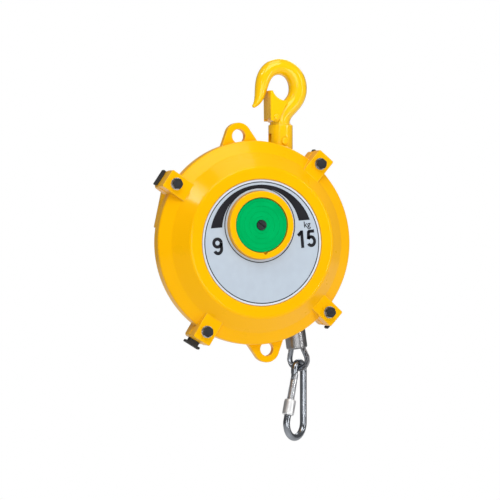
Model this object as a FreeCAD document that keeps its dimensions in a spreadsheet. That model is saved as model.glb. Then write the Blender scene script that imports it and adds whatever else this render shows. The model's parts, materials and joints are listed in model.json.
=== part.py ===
"""Spring tool balancer: hook, tilting housing, rope drum, mainspring, tension worm and snap hook.

Row frame: +Z up and plumb, the dial faces -Y, and the origin is the point of the top hook's bowl
that hangs on the rail.  The housing pieces are drawn upright, in a housing frame whose origin is
the middle of the joint between the two shells, and are then tilted together about the hanger pin.
"""
import FreeCAD, Part
import math
import os
import re

import Sketcher
from FreeCAD import Placement, Rotation, Vector

X_AXIS, Y_AXIS, Z_AXIS = Vector(1, 0, 0), Vector(0, 1, 0), Vector(0, 0, 1)
FULL_TURN = 360
HEXAGON_SIDES = 6

# Every driving dimension: word, value in millimetres or degrees.
SIZES = [
    # shells
    ("flange_radius", 105), ("flange_depth", 7), ("rim_round", 2.2), ("rim_slope", 12.5),
    ("foot_height", 7), ("ring_radius", 77), ("drum_front_room", 4.6), ("shell_wall", 4),
    ("cavity_inset", 17), ("recess_radius", 65.2), ("recess_depth", 1.4),
    ("boss_radius", 34.7), ("boss_height", 6), ("boss_bore", 28.3), ("disc_seat_depth", 4.6),
    ("shaft_rise", 18), ("can_depth", 40), ("can_draft", 2), ("hub_radius", 17),
    ("hub_depth", 6), ("rib_count", 8), ("rib_width", 4), ("rib_height", 3),
    # ears, bolts and bumpers
    ("upper_ear_angle", 48), ("lower_ear_angle", 39.5), ("bolt_offset", 1.3), ("ear_width", 20),
    ("ear_inset", 15), ("ear_reach", 12.5), ("ear_depth", 16), ("ear_round", 1.6), ("lug_width", 21),
    ("lug_reach", 12), ("lug_depth", 13), ("lug_round", 3), ("bolt_radius", 3), ("bolt_head_flats", 10),
    ("bolt_head_height", 4), ("washer_radius", 6.2), ("washer_depth", 1.6), ("bolt_reach", 24),
    ("bumper_plate_width", 17.5), ("bumper_plate_depth", 2.2), ("bumper_stem_width", 11),
    ("upper_bumper_reach", 0.6), ("lower_bumper_reach", 4), ("bumper_thickness", 8), ("bumper_back", 1),
    # safety eyes
    ("eye_offset", 5.7), ("eye_bore", 7.2), ("eye_radius", 13.9), ("eye_foot_width", 44), ("eye_flare", 20),
    # hanger
    ("tilt", 8), ("pin_drop", 69.7), ("pin_across", 52.3), ("pin_inset", 6),
    ("neck_radius", 12.7), ("neck_above_pin", 17.7), ("neck_below_pin", 15), ("neck_chamfer", 1.4),
    ("slot_above_pin", 8.3), ("tongue_thickness", 8), ("tongue_radius", 7.6),
    ("hanger_pin_radius", 3), ("pin_head_radius", 3.8), ("pin_head_height", 2.4), ("spot_face", 12.1),
    ("stem_radius", 5.5), ("nut_radius", 8), ("nut_height", 3), ("thrust_washer_depth", 1),
    ("roof_depth", 4), ("clip_radius", 5), ("clip_depth", 1.2),
    ("running_gap", 0.05), ("free_gap", 0.3), ("stop_width", 14), ("stop_height", 12),
    # drum, shaft and spring
    ("shaft_radius", 10), ("shaft_end_radius", 8), ("nut_flats", 24), ("shaft_nut_height", 8),
    ("screw_radius", 3), ("screw_reach", 12), ("screw_head_radius", 5), ("screw_head_height", 2.6),
    ("screw_slot_lean", 45), ("screw_slot_width", 1.5),
    ("disc_gap", 0.8), ("disc_thickness", 3.2), ("disc_groove", 0.5),
    ("rope_radius", 2.4), ("rope_across", 40.6), ("drum_large", 55), ("drum_turns", 5),
    ("rope_space", 0.8), ("drum_wall", 4), ("drum_flange_depth", 2.5), ("anchor_radius", 3.6),
    ("flange_over_rope", 3.5), ("drum_hub_wall", 3), ("bush_wall", 3), ("bush_length", 12),
    ("case_front", 25.5), ("wheel_rim", 3.6), ("case_wall", 3), ("spring_turns", 7),
    ("spring_strip", 0.9), ("lid_depth", 1.6), ("arbor_wall", 2),
    # tension worm
    ("wheel_teeth", 60), ("wheel_radius", 68), ("wheel_gap", 2), ("wheel_width", 8), ("wheel_depth", 33),
    ("tooth_addendum", 2), ("tooth_dedendum", 2.4), ("tooth_backlash", 0.5), ("pressure_angle", 20),
    ("worm_radius", 9), ("worm_angle", 20),
    ("worm_turns", 3), ("worm_journal", 5), ("worm_boss_radius", 14), ("worm_boss_length", 42),
    ("worm_bush_length", 7), ("worm_head_flats", 10),
    ("worm_head_height", 5), ("plug_depth", 2),
    # rope end
    ("outlet_radius", 12.5), ("outlet_inset", 19.8), ("guide_radius", 9), ("guide_flange", 11.5),
    ("guide_flange_depth", 2), ("buffer_depth", 5.7), ("sleeve_length", 24),
    ("sleeve_radius", 11), ("sleeve_round", 2), ("eye_loop_radius", 10.4), ("eye_drop", 11.4),
    ("strand_spread", 5.3), ("strand_insert", 6), ("thimble_wall", 0.9), ("rope_twist", -45),
    # snap hook
    ("snap_wire", 3.6), ("snap_top_radius", 8.2), ("snap_base_radius", 15.4), ("snap_length", 85.5),
    ("snap_azimuth", 34.4), ("gate_drop", 7), ("gate_length", 41.2), ("gate_pin_radius", 1.25),
    ("tang_thickness", 3), ("lock_radius", 6.2), ("lock_length", 16),
    ("lock_from_hinge", 24.6), ("gate_spring_radius", 1.3), ("snap_bend_radius", 8),
    ("nose_length", 5.5),
    # top hook and latch
    ("hook_base_radius", 11), ("latch_across", -8), ("latch_drop", 44.7), ("latch_lug_radius", 5.2),
    ("latch_lug_width", 17), ("latch_width", 22), ("latch_sheet", 1.3), ("rivet_radius", 2),
    ("rivet_head", 3.4), ("latch_lean", 0.8), ("latch_spine", 5.5), ("latch_foot_radius", 4.1),
    ("latch_height", 27.8), ("latch_cheek_reach", 11.9), ("latch_shoulder", 17.4), ("latch_dip", 3),
    ("latch_heel_angle", 20), ("latch_toe_angle", 120), ("latch_fold", 1.1), ("latch_spine_foot", 2.4),
    ("latch_coil_wire", 0.5), ("label_thickness", 0.8),
]

# Sizes that follow from others, so that pieces which fit together stay together.
FOLLOWING = {
    "foot_radius": "flange_radius - rim_slope",
    "cavity_radius": "flange_radius - cavity_inset",
    "bolt_circle": "flange_radius + bolt_offset",
    "ear_inner": "flange_radius - ear_inset",
    "ear_outer": "flange_radius + ear_reach",
    "lug_outer": "flange_radius + lug_reach",
    "eye_height": "flange_radius + eye_offset",
    "pin_above": "flange_radius - pin_inset",
    "outlet_bottom": "flange_radius - outlet_inset",
    "rope_pitch": "2 * rope_radius + rope_space",
    "drum_front": "drum_turns * rope_pitch + rope_radius + drum_flange_depth - rope_depth",
    "ring_height": "drum_front + drum_front_room + shell_wall",
    "drum_hub_radius": "shaft_radius + bush_wall + drum_hub_wall",
    "arbor_radius": "shaft_radius + bush_wall + arbor_wall",
    "can_radius": "wheel_radius + tooth_addendum + wheel_gap + shell_wall",
    "case_radius": "wheel_radius - tooth_dedendum - wheel_rim",
    "rope_depth": "flange_depth + neck_radius + free_gap",
    "slot_width": "tongue_thickness + 2 * free_gap",
    "gate_slot": "tang_thickness + 2 * free_gap",
    "sleeve_top": "outlet_bottom + guide_flange_depth + buffer_depth + free_gap",
    "eye_loop_centre": "sleeve_top + sleeve_length + eye_drop",
}

doc = FreeCAD.newDocument("ToolBalancer")
sheet = doc.addObject("Spreadsheet::Sheet", "Sizes")
for row, (word, amount) in enumerate(SIZES, start=1):
    sheet.set(f"A{row}", str(amount))
    sheet.setAlias(f"A{row}", word)
doc.recompute()

WORDS = {word for word, _ in SIZES}
nodes = []


def bound(text):
    """Expression text with each size word pointing at its cell."""
    def cell(match):
        word = match[0]
        if word in FOLLOWING:
            return f"({bound(FOLLOWING[word])})"
        return f"Sizes.{word}" if word in WORDS else word

    return re.sub(r"[a-z_]+", cell, text)


def size(text):
    """Number that an expression in size words comes to."""
    return float(sheet.evalExpression(bound(text)))


def node(label, item, place):
    """Give a finished sub-part its file name and its place."""
    item.Label = label
    item.Placement = place
    nodes.append(item)
    return item


def solid_node(label, shape, place):
    """Sub-part whose shape is made directly from the sheet's values."""
    return node(label, with_shape(label, shape), place)


def with_shape(name, shape):
    item = doc.addObject("Part::Feature", name)
    item.Shape = shape
    return item


def origin_plane(body, role):
    return next(item for item in body.Origin.OriginFeatures if item.Role == role)


def sketch(body, name, plane, loops=(), circles=(), lift="0", turn=None, base=None):
    """Sketch of closed straight-sided loops and circles, every point bound to the sheet.

    lift moves the sketch along its plane's normal; turn is (axis, angle) and base is (x, y)
    for a sketch on a slanted plane.
    """
    drawing = body.newObject("Sketcher::SketchObject", name)
    drawing.AttachmentSupport = [(origin_plane(body, plane), "")]
    drawing.MapMode = "FlatFace"
    if turn:
        drawing.AttachmentOffset = Placement(Vector(), Rotation(turn[0], size(turn[1])))
        drawing.setExpression("AttachmentOffset.Rotation.Angle", bound(f"{turn[1]} * 1deg"))
    for word, text in zip(("x", "y", "z"), (*(base or ("0", "0")), lift)):
        drawing.setExpression(f"AttachmentOffset.Base.{word}", bound(f"({text}) * 1mm"))
    for points in loops:
        first = drawing.GeometryCount
        spots = [Vector(size(across), size(along), 0) for across, along in points]
        for start, end in zip(spots, spots[1:] + spots[:1]):
            drawing.addGeometry(Part.LineSegment(start, end), False)
        for step, (across, along) in enumerate(points):
            following = first + (step + 1) % len(points)
            drawing.addConstraint(Sketcher.Constraint("Coincident", first + step, 2, following, 1))
            pin_down(drawing, first + step, 1, across, along)
    for across, along, radius in circles:
        centre = Vector(size(across), size(along), 0)
        ring = drawing.addGeometry(Part.Circle(centre, Z_AXIS, size(radius)), False)
        pin_down(drawing, ring, 3, across, along)
        rule = drawing.addConstraint(Sketcher.Constraint("Radius", ring, size(radius)))
        drawing.setExpression(f"Constraints[{rule}]", bound(radius))
    return drawing


def pin_down(drawing, geometry, point, across, along):
    """Tie a sketch point to the sheet by its two distances from the sketch's origin."""
    for kind, text in (("DistanceX", across), ("DistanceY", along)):
        rule = drawing.addConstraint(Sketcher.Constraint(kind, -1, 1, geometry, point, size(text)))
        drawing.setExpression(f"Constraints[{rule}]", bound(text))


def new_body(name):
    return doc.addObject("PartDesign::Body", name)


def revolve(body, drawing, kind="PartDesign::Revolution"):
    """Turn a sketch about its own vertical axis."""
    turned = body.newObject(kind, f"{drawing.Name}_turned")
    turned.Profile = drawing
    turned.ReferenceAxis = (drawing, ["V_Axis"])
    turned.Angle = FULL_TURN
    return turned


def pad(body, drawing, length, backwards=False, both_ways=False, taper=None):
    raised = body.newObject("PartDesign::Pad", f"{drawing.Name}_pad")
    raised.Profile = drawing
    raised.setExpression("Length", bound(length))
    raised.Reversed = backwards
    raised.Midplane = both_ways
    if taper:
        raised.setExpression("TaperAngle", bound(taper))
    return raised


def pocket(body, drawing, length=None, backwards=False, both_ways=False):
    """Cut a sketch into the body, right through both ways when no length is given."""
    cut = body.newObject("PartDesign::Pocket", f"{drawing.Name}_cut")
    cut.Profile = drawing
    cut.Reversed = backwards
    cut.Midplane = both_ways or length is None
    if length is None:
        cut.Type = 1
    else:
        cut.setExpression("Length", bound(length))
    return cut


def round_edges(body, radius, chosen, kind="PartDesign::Fillet"):
    """Round, or chamfer, the edges of the body's tip that the test picks."""
    doc.recompute()
    tip = body.Tip
    names = [f"Edge{count}" for count, edge in enumerate(tip.Shape.Edges, start=1) if chosen(edge)]
    if not names:
        raise ValueError(f"{body.Name}: no edge matches")
    eased = body.newObject(kind, f"{tip.Name}_eased")
    eased.Base = (tip, names)
    eased.setExpression("Radius" if kind.endswith("Fillet") else "Size", bound(radius))
    return eased


def is_ring(edge, radius, depth=None, axis="y", slack=0.01):
    """Whether an edge is a circle of a radius, at a place along an axis when one is given."""
    curve = edge.Curve
    if not isinstance(curve, Part.Circle) or abs(curve.Radius - size(radius)) > slack:
        return False
    return depth is None or abs(getattr(curve.Center, axis) - size(depth)) < slack


def is_corner(edge, reach, width, slack=0.01):
    """Whether an edge is an outer corner of an ear: along the shaft, at the ear's outer end."""
    middle = edge.CenterOfMass
    far = math.hypot(size(reach), size(width) / 2)
    along = edge.BoundBox.YLength > max(edge.BoundBox.XLength, edge.BoundBox.ZLength)
    return along and abs(math.hypot(middle.x, middle.z) - far) < slack


def turned_piece(label, points, place, plane="XY_Plane"):
    """Simple turned sub-part: XY_Plane turns it about Y, XZ_Plane about Z."""
    body = new_body(label)
    revolve(body, sketch(body, f"{label}_profile", plane, [points]))
    return node(label, body, place)


def tube_points(inner, outer, low, high):
    return [(inner, low), (outer, low), (outer, high), (inner, high)]


# Places of the frames that the pieces are drawn in.
tilted = Rotation(Y_AXIS, -size("tilt"))
pin_in_housing = Vector(size("pin_across"), size("rope_depth"), size("pin_above"))
pin_point = Vector(0, 0, -size("pin_drop"))
housing_place = Placement(pin_point - tilted.multVec(pin_in_housing), tilted)
shaft_place = housing_place * Placement(Vector(0, 0, size("shaft_rise")), Rotation())
rope_place = housing_place * Placement(Vector(size("rope_across"), size("rope_depth"), 0), Rotation())
twisted_place = rope_place * Placement(Vector(), Rotation(Z_AXIS, size("rope_twist")))
worm_place = (
    shaft_place
    * Placement(Vector(0, size("wheel_depth"), 0), Rotation(Y_AXIS, size("worm_angle")))
    * Placement(Vector(-size("wheel_radius + worm_radius"), 0, 0), Rotation())
)
hook_place = Placement()
pin_place = Placement(pin_point, Rotation())

# Depths along the shaft, counted from the joint between the shells, that several pieces share.
FLOOR = "-(flange_depth + ring_height - recess_depth)"
COVER_INSIDE = "-(flange_depth + ring_height - recess_depth - shell_wall)"
BOSS_FRONT = "-(flange_depth + ring_height + boss_height)"
SEAT_FLOOR = "-(flange_depth + ring_height + boss_height - disc_seat_depth)"
HUB_INSIDE = "-(flange_depth + ring_height - recess_depth - shell_wall - hub_depth)"
CAN_BACK = "(flange_depth + can_depth)"
CAN_INSIDE = "(flange_depth + can_depth - shell_wall)"

# The four corners of the housing: side, vertical sense and angle from the vertical.
CORNERS = [
    (side, sense, angle)
    for sense, angle in ((1, "upper_ear_angle"), (-1, "lower_ear_angle"))
    for side in (-1, 1)
]


def corner_point(side, sense, angle, outward, sideways="0"):
    """Expressions of a point on a corner's own radial line, with a step to the side."""
    across = f"{side} * (({outward}) * sin({angle}) + ({sideways}) * cos({angle}))"
    upward = f"{sense} * (({outward}) * cos({angle}) - ({sideways}) * sin({angle}))"
    return across, upward


def corner_block(corner, inner, outer, width):
    """Outline of a rectangular ear on one corner."""
    return [
        corner_point(*corner, reach, f"{hand} * {width} / 2")
        for reach, hand in ((inner, -1), (outer, -1), (outer, 1), (inner, 1))
    ]


def front_cover():
    """Domed front shell with the raised ring, the label's recess and the offset boss."""
    body = new_body("front_cover")
    outline = [
        ("0", FLOOR), ("recess_radius", FLOOR), ("recess_radius", "-(flange_depth + ring_height)"),
        ("ring_radius", "-(flange_depth + ring_height)"), ("foot_radius", "-(flange_depth + foot_height)"),
        ("flange_radius", "-flange_depth"), ("flange_radius", "0"), ("cavity_radius", "0"),
        ("cavity_radius", "-foot_height"), ("ring_radius - shell_wall", COVER_INSIDE),
        ("0", COVER_INSIDE),
    ]
    revolve(body, sketch(body, "cover_profile", "XY_Plane", [outline]))
    for radius, depth, easing in (
        ("ring_radius", "-(flange_depth + ring_height)", "2 * rim_round"),
        ("foot_radius", "-(flange_depth + foot_height)", "2 * rim_round"),
        ("flange_radius", "-flange_depth", "rim_round"),
    ):
        round_edges(body, easing, lambda edge: is_ring(edge, radius, depth))
    ears = [corner_block(corner, "ear_inner", "ear_outer", "ear_width") for corner in CORNERS]
    pad(body, sketch(body, "ears", "XZ_Plane", ears), "ear_depth")
    round_edges(body, "ear_round", lambda edge: is_corner(edge, "ear_outer", "ear_width"))
    boss = [("0", "shaft_rise", "boss_radius")]
    boss_lift = "flange_depth + ring_height - recess_depth - shell_wall"
    boss_rise = "recess_depth + shell_wall + boss_height"
    pad(body, sketch(body, "boss", "XZ_Plane", circles=boss, lift=boss_lift), boss_rise)
    hub = [("0", "shaft_rise", "hub_radius")]
    pad(body, sketch(body, "hub", "XZ_Plane", circles=hub, lift=f"{boss_lift} - hub_depth"), "hub_depth")
    seat = [("0", "shaft_rise", "boss_bore")]
    seat_lift = "flange_depth + ring_height + boss_height"
    pocket(body, sketch(body, "seat", "XZ_Plane", circles=seat, lift=seat_lift), "disc_seat_depth")
    notch = [("0", "shaft_rise - boss_bore", "rim_round")]
    pocket(body, sketch(body, "notch", "XZ_Plane", circles=notch, lift=seat_lift), "disc_seat_depth")
    holes = [(*corner_point(*corner, "bolt_circle"), "bolt_radius + running_gap") for corner in CORNERS]
    bore = ("0", "shaft_rise", "shaft_radius")
    pocket(body, sketch(body, "cover_holes", "XZ_Plane", circles=holes + [bore]))
    round_edges(body, "rim_round / 2", lambda edge: is_ring(edge, "boss_radius", BOSS_FRONT))
    return node("front_cover", body, housing_place)


def rear_housing():
    """Rear shell: flange, offset spring can, lugs, safety eyes, hanger tongue and both outlets."""
    body = new_body("rear_housing")
    rim = [("0", "0"), ("flange_radius", "0"), ("flange_radius", "flange_depth"), ("0", "flange_depth")]
    revolve(body, sketch(body, "rim", "XY_Plane", [rim]))
    round_edges(body, "rim_round", lambda edge: is_ring(edge, "flange_radius", "flange_depth"))
    can = [("0", "shaft_rise", "can_radius")]
    back = "-flange_depth"
    can_sketch = sketch(body, "can", "XZ_Plane", circles=can, lift=back)
    pad(body, can_sketch, "can_depth", backwards=True, taper="-can_draft")
    lugs = [corner_block(corner, "ear_inner", "lug_outer", "lug_width") for corner in CORNERS]
    pad(body, sketch(body, "lugs", "XZ_Plane", lugs), "lug_depth", backwards=True)
    round_edges(body, "lug_round", lambda edge: is_corner(edge, "lug_outer", "lug_width"))
    eye_feet = [
        [(f"{hand} * eye_foot_width / 2", f"{sense} * (flange_radius - 3 * rim_round)")
         for hand in (-1, 1)]
        + [(f"{hand} * eye_radius * cos(eye_flare)", f"{sense} * (eye_height + eye_radius * sin(eye_flare))")
           for hand in (1, -1)]
        for sense in (1, -1)
    ]
    pad(body, sketch(body, "eye_feet", "XZ_Plane", eye_feet), "flange_depth", backwards=True)
    eyes = [("0", f"{sense} * eye_height", "eye_radius") for sense in (1, -1)]
    pad(body, sketch(body, "eyes", "XZ_Plane", circles=eyes), "flange_depth", backwards=True)
    hanger_lugs(body)
    pad(body, slanted(body, "worm_barrel", "worm_boss_radius"), "worm_boss_length", both_ways=True)
    outlet = [("rope_across", "rope_depth", "outlet_radius")]
    outlet_sketch = sketch(body, "outlet", "XY_Plane", circles=outlet, lift="-outlet_bottom")
    pad(body, outlet_sketch, "outlet_bottom - can_radius / 2")
    web_front = "flange_depth / 2"
    outlet_web = [
        (f"rope_across + {hand} * outlet_radius", reach)
        for hand, reach in ((-1, web_front), (1, web_front), (1, "rope_depth"), (-1, "rope_depth"))
    ]
    web_sketch = sketch(body, "outlet_web", "XY_Plane", [outlet_web], lift="-outlet_bottom")
    pad(body, web_sketch, "outlet_bottom - can_radius / 2")
    back_ribs(body)
    hollow_housing(body)
    return node("rear_housing", body, housing_place)


def hanger_lugs(body):
    """Tongue that the neck's fork straddles, and the stop that the tilted housing rests on."""
    tongue_base = "rope_depth + tongue_thickness / 2"
    tongue = [
        ("pin_across - 2 * tongue_radius", "shaft_rise + can_radius / 2"),
        ("pin_across + 2 * tongue_radius", "shaft_rise + can_radius / 2"),
        ("pin_across + tongue_radius", "pin_above"), ("pin_across - tongue_radius", "pin_above"),
    ]
    lift = f"-({tongue_base})"
    pad(body, sketch(body, "tongue", "XZ_Plane", [tongue], lift=lift), "tongue_thickness")
    tip = [("pin_across", "pin_above", "tongue_radius")]
    pad(body, sketch(body, "tongue_tip", "XZ_Plane", circles=tip, lift=lift), "tongue_thickness")
    stop_face = "pin_across - (neck_radius + free_gap) / cos(tilt) - neck_below_pin * sin(tilt)"
    stop_top = "pin_above - neck_below_pin + stop_height / 2"
    stop = [
        (f"{stop_face} - stop_width", f"{stop_top} - 2 * stop_height"),
        (f"{stop_face}", f"{stop_top} - 2 * stop_height"),
        (f"{stop_face}", stop_top), (f"{stop_face} - stop_width", stop_top),
    ]
    stop_lift = "-(rope_depth + tongue_thickness)"
    pad(body, sketch(body, "stop", "XZ_Plane", [stop], lift=stop_lift), "rope_depth + tongue_thickness")


def slanted(body, name, radius):
    """Circle across the worm's own line, at the worm's middle."""
    ring = [("-(wheel_radius + worm_radius)", "wheel_depth", radius)]
    return sketch(body, name, "XY_Plane", circles=ring, turn=(Y_AXIS, "worm_angle"), lift="shaft_rise")


def back_ribs(body):
    """Centre pad and radial stiffening ribs on the can's back."""
    lift, length = f"-{CAN_BACK} + rib_height / 2", "rib_height * 3 / 2"
    pad_ring = [("0", "shaft_rise", "hub_radius + rib_width / 2")]
    pad(body, sketch(body, "back_pad", "XZ_Plane", circles=pad_ring, lift=lift), length, backwards=True)
    inner, outer = "hub_radius", "can_radius - 3 * can_draft - rib_height"
    outline = [(inner, "-rib_width / 2"), (outer, "-rib_width / 2"),
               (outer, "rib_width / 2"), (inner, "rib_width / 2")]
    drawing = sketch(body, "rib", "XZ_Plane", [outline], lift=lift, base=("0", "shaft_rise"))
    first = pad(body, drawing, length, backwards=True)
    doc.recompute()
    ring = body.newObject("PartDesign::PolarPattern", "ribs")
    ring.Originals = [first]
    ring.Axis = (drawing, ["N_Axis"])
    ring.Occurrences = int(size("rib_count"))
    ring.Angle = FULL_TURN
    body.Tip = ring


def hollow_housing(body):
    """Cavity, rope outlet, worm bores, bolt holes, pin bore and eye bores."""
    cavity = [("0", "shaft_rise", "can_radius - shell_wall")]
    pocket(body, sketch(body, "cavity", "XZ_Plane", circles=cavity), CAN_INSIDE)
    inner_hub = [("0", "shaft_rise", "hub_radius")]
    hub_sketch = sketch(body, "rear_hub", "XZ_Plane", circles=inner_hub, lift=f"-{CAN_INSIDE}")
    pad(body, hub_sketch, "hub_depth / 2")
    worm_chamber = "worm_boss_length / 2 - worm_bush_length"
    pocket(body, slanted(body, "worm_chamber", "worm_boss_radius - shell_wall / 2"),
           f"2 * ({worm_chamber})", both_ways=True)
    pocket(body, slanted(body, "worm_bores", "worm_journal + bush_wall"), "2 * worm_boss_length",
           both_ways=True)
    rope_bore = [("rope_across", "rope_depth", "guide_radius")]
    bore_sketch = sketch(body, "rope_bore", "XY_Plane", circles=rope_bore, lift="-outlet_bottom")
    pocket(body, bore_sketch, "outlet_bottom", backwards=True)
    holes = [(*corner_point(*corner, "bolt_circle"), "bolt_radius") for corner in CORNERS]
    holes += [("0", f"{sense} * eye_height", "eye_bore") for sense in (1, -1)]
    holes.append(("pin_across", "pin_above", "hanger_pin_radius + running_gap"))
    holes.append(("0", "shaft_rise", "shaft_end_radius"))
    pocket(body, sketch(body, "housing_holes", "XZ_Plane", circles=holes))


def bolt_set():
    """Four hexagon bolts that clamp the shells together, one in each corner."""
    seat, height = -size("ear_depth + washer_depth"), size("bolt_head_height")
    head = hexagon_block(size("bolt_head_flats"), height, 0)
    head.translate(Vector(0, seat - height, 0))
    shank = Part.makeCylinder(size("bolt_radius"), size("bolt_reach"), Vector(0, seat, 0), Y_AXIS)
    return solid_node("cover_bolts", at_corners(head.fuse(shank)), housing_place)


def at_corner(shape, corner):
    """Copy of a shape on one corner's bolt centre, turned to the corner's radial line."""
    across, upward = corner_point(*corner, "bolt_circle")
    lean = math.degrees(math.atan2(size(across), size(upward)))
    return placed(shape, Placement(Vector(size(across), 0, size(upward)), Rotation(Y_AXIS, lean)))


def at_corners(shape):
    """Copies of a shape on the four bolt centres."""
    return Part.makeCompound([at_corner(shape, corner) for corner in CORNERS])


def placed(shape, spot):
    moved = shape.copy()
    moved.Placement = spot.multiply(moved.Placement)
    return moved


def washer_set():
    """Washer under each bolt head."""
    seat = -size("ear_depth")
    outer = Part.makeCylinder(size("washer_radius"), size("washer_depth"), Vector(0, seat, 0), -Y_AXIS)
    bore = Part.makeCylinder(size("bolt_radius"), size("washer_depth"), Vector(0, seat, 0), -Y_AXIS)
    return solid_node("bolt_washers", at_corners(outer.cut(bore)), housing_place)


def bumper_set():
    """Black rubber bumpers in the outer ends of the lugs, the lower two standing further out."""
    low = size("lug_outer - bolt_circle")
    thickness, depth = size("bumper_thickness"), size("bumper_plate_depth")
    front = size("lug_depth - bumper_back") - thickness

    def slab(width, start, end):
        return Part.makeBox(width, thickness, end - start, Vector(-width / 2, front, start))

    bumpers = []
    for corner in CORNERS:
        reach = low + size("upper_bumper_reach" if corner[1] > 0 else "lower_bumper_reach")
        plate = slab(size("bumper_plate_width"), reach, reach + depth)
        edges = [edge for edge in plate.Edges if edge.BoundBox.ZLength > depth / 2]
        plate = plate.makeFillet(depth / 3, edges)
        stem = slab(size("bumper_stem_width"), low, reach)
        bumpers.append(at_corner(stem.fuse(plate).removeSplitter(), corner))
    return solid_node("lug_bumpers", Part.makeCompound(bumpers), housing_place)


def label_plate():
    """Thin dial plate round the offset boss."""
    body = new_body("label_plate")
    radius = "recess_radius - rim_round"
    lift = "flange_depth + ring_height - recess_depth"
    rings = [("0", "0", radius), ("0", "shaft_rise", "boss_radius + 2 * free_gap")]
    pad(body, sketch(body, "label_outline", "XZ_Plane", circles=rings, lift=lift), "label_thickness")
    return node("label_plate", body, housing_place)


def shaft_pieces():
    """Fixed main shaft, its rear nut, the green end disc and the disc's slotted screw."""
    shoulder = f"({CAN_INSIDE} - hub_depth / 2)"
    nut_seat = f"({CAN_BACK} + rib_height)"
    end = f"({nut_seat} + shaft_nut_height + rim_round / 2)"
    shaft = [
        ("0", SEAT_FLOOR), ("shaft_radius", SEAT_FLOOR), ("shaft_radius", shoulder),
        ("shaft_end_radius", shoulder), ("shaft_end_radius", end), ("0", end),
    ]
    body = new_body("main_shaft")
    revolve(body, sketch(body, "shaft_profile", "XY_Plane", [shaft]))
    lift = "flange_depth + ring_height + boss_height - disc_seat_depth"
    tapped = [("0", "0", "screw_radius")]
    pocket(body, sketch(body, "tapped", "XZ_Plane", circles=tapped, lift=lift), "screw_reach")
    round_edges(body, "rim_round / 3", lambda edge: is_ring(edge, "shaft_end_radius", end),
                "PartDesign::Chamfer")
    node("main_shaft", body, shaft_place)
    nut = hexagon_block(size("nut_flats"), size("shaft_nut_height"), size("shaft_end_radius"))
    solid_node("shaft_nut", nut, shaft_place * Placement(Vector(0, size(nut_seat), 0), Rotation()))

    outer, face = "boss_bore - disc_gap", f"({SEAT_FLOOR} - disc_thickness)"
    disc = [
        ("screw_radius", SEAT_FLOOR), (outer, SEAT_FLOOR), (outer, f"{face} + disc_groove"),
        (f"{outer} - disc_groove", face), ("screw_head_radius + free_gap", face),
        ("screw_head_radius + free_gap", f"{face} + disc_thickness / 2"),
        ("screw_radius", f"{face} + disc_thickness / 2"),
    ]
    turned_piece("end_disc", disc, shaft_place)
    seat = size(face) + size("disc_thickness") / 2
    radius, height, width = size("screw_head_radius"), size("screw_head_height"), size("screw_slot_width")
    head = Part.makeCylinder(radius, height, Vector(0, seat, 0), -Y_AXIS)
    slot = Part.makeBox(2 * radius, height / 2, width, Vector(-radius, seat - height, -width / 2))
    slot.rotate(Vector(), Y_AXIS, size("screw_slot_lean"))
    shank_end = size(SEAT_FLOOR) + size("screw_reach")
    shank = Part.makeCylinder(size("screw_radius"), shank_end - seat, Vector(0, seat, 0), Y_AXIS)
    solid_node("disc_screw", head.cut(slot).fuse(shank), shaft_place)


def hexagon_block(flats, height, bore):
    """Hexagon nut along +Y with its corners turned off and a plain bore."""
    corner = flats / math.sqrt(3)
    points = [Rotation(Y_AXIS, FULL_TURN * side / HEXAGON_SIDES).multVec(Vector(corner, 0, 0))
              for side in range(HEXAGON_SIDES + 1)]
    block = Part.Face(Part.makePolygon(points)).extrude(Vector(0, height, 0))
    blank = Part.makeCylinder(corner, height, Vector(), Y_AXIS)
    blank = blank.makeChamfer(corner - flats / 2, [edge for edge in blank.Edges if is_circle(edge)])
    block = block.common(blank)
    return block.cut(Part.makeCylinder(bore, height, Vector(), Y_AXIS)) if bore else block


def rope_row(step):
    """Depth and radius expressions of the rope's middle on one turn, counted from the small end."""
    share = f"{step} / drum_turns"
    return f"(rope_depth - {step} * rope_pitch)", f"(rope_across + (drum_large - rope_across) * {share})"


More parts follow.
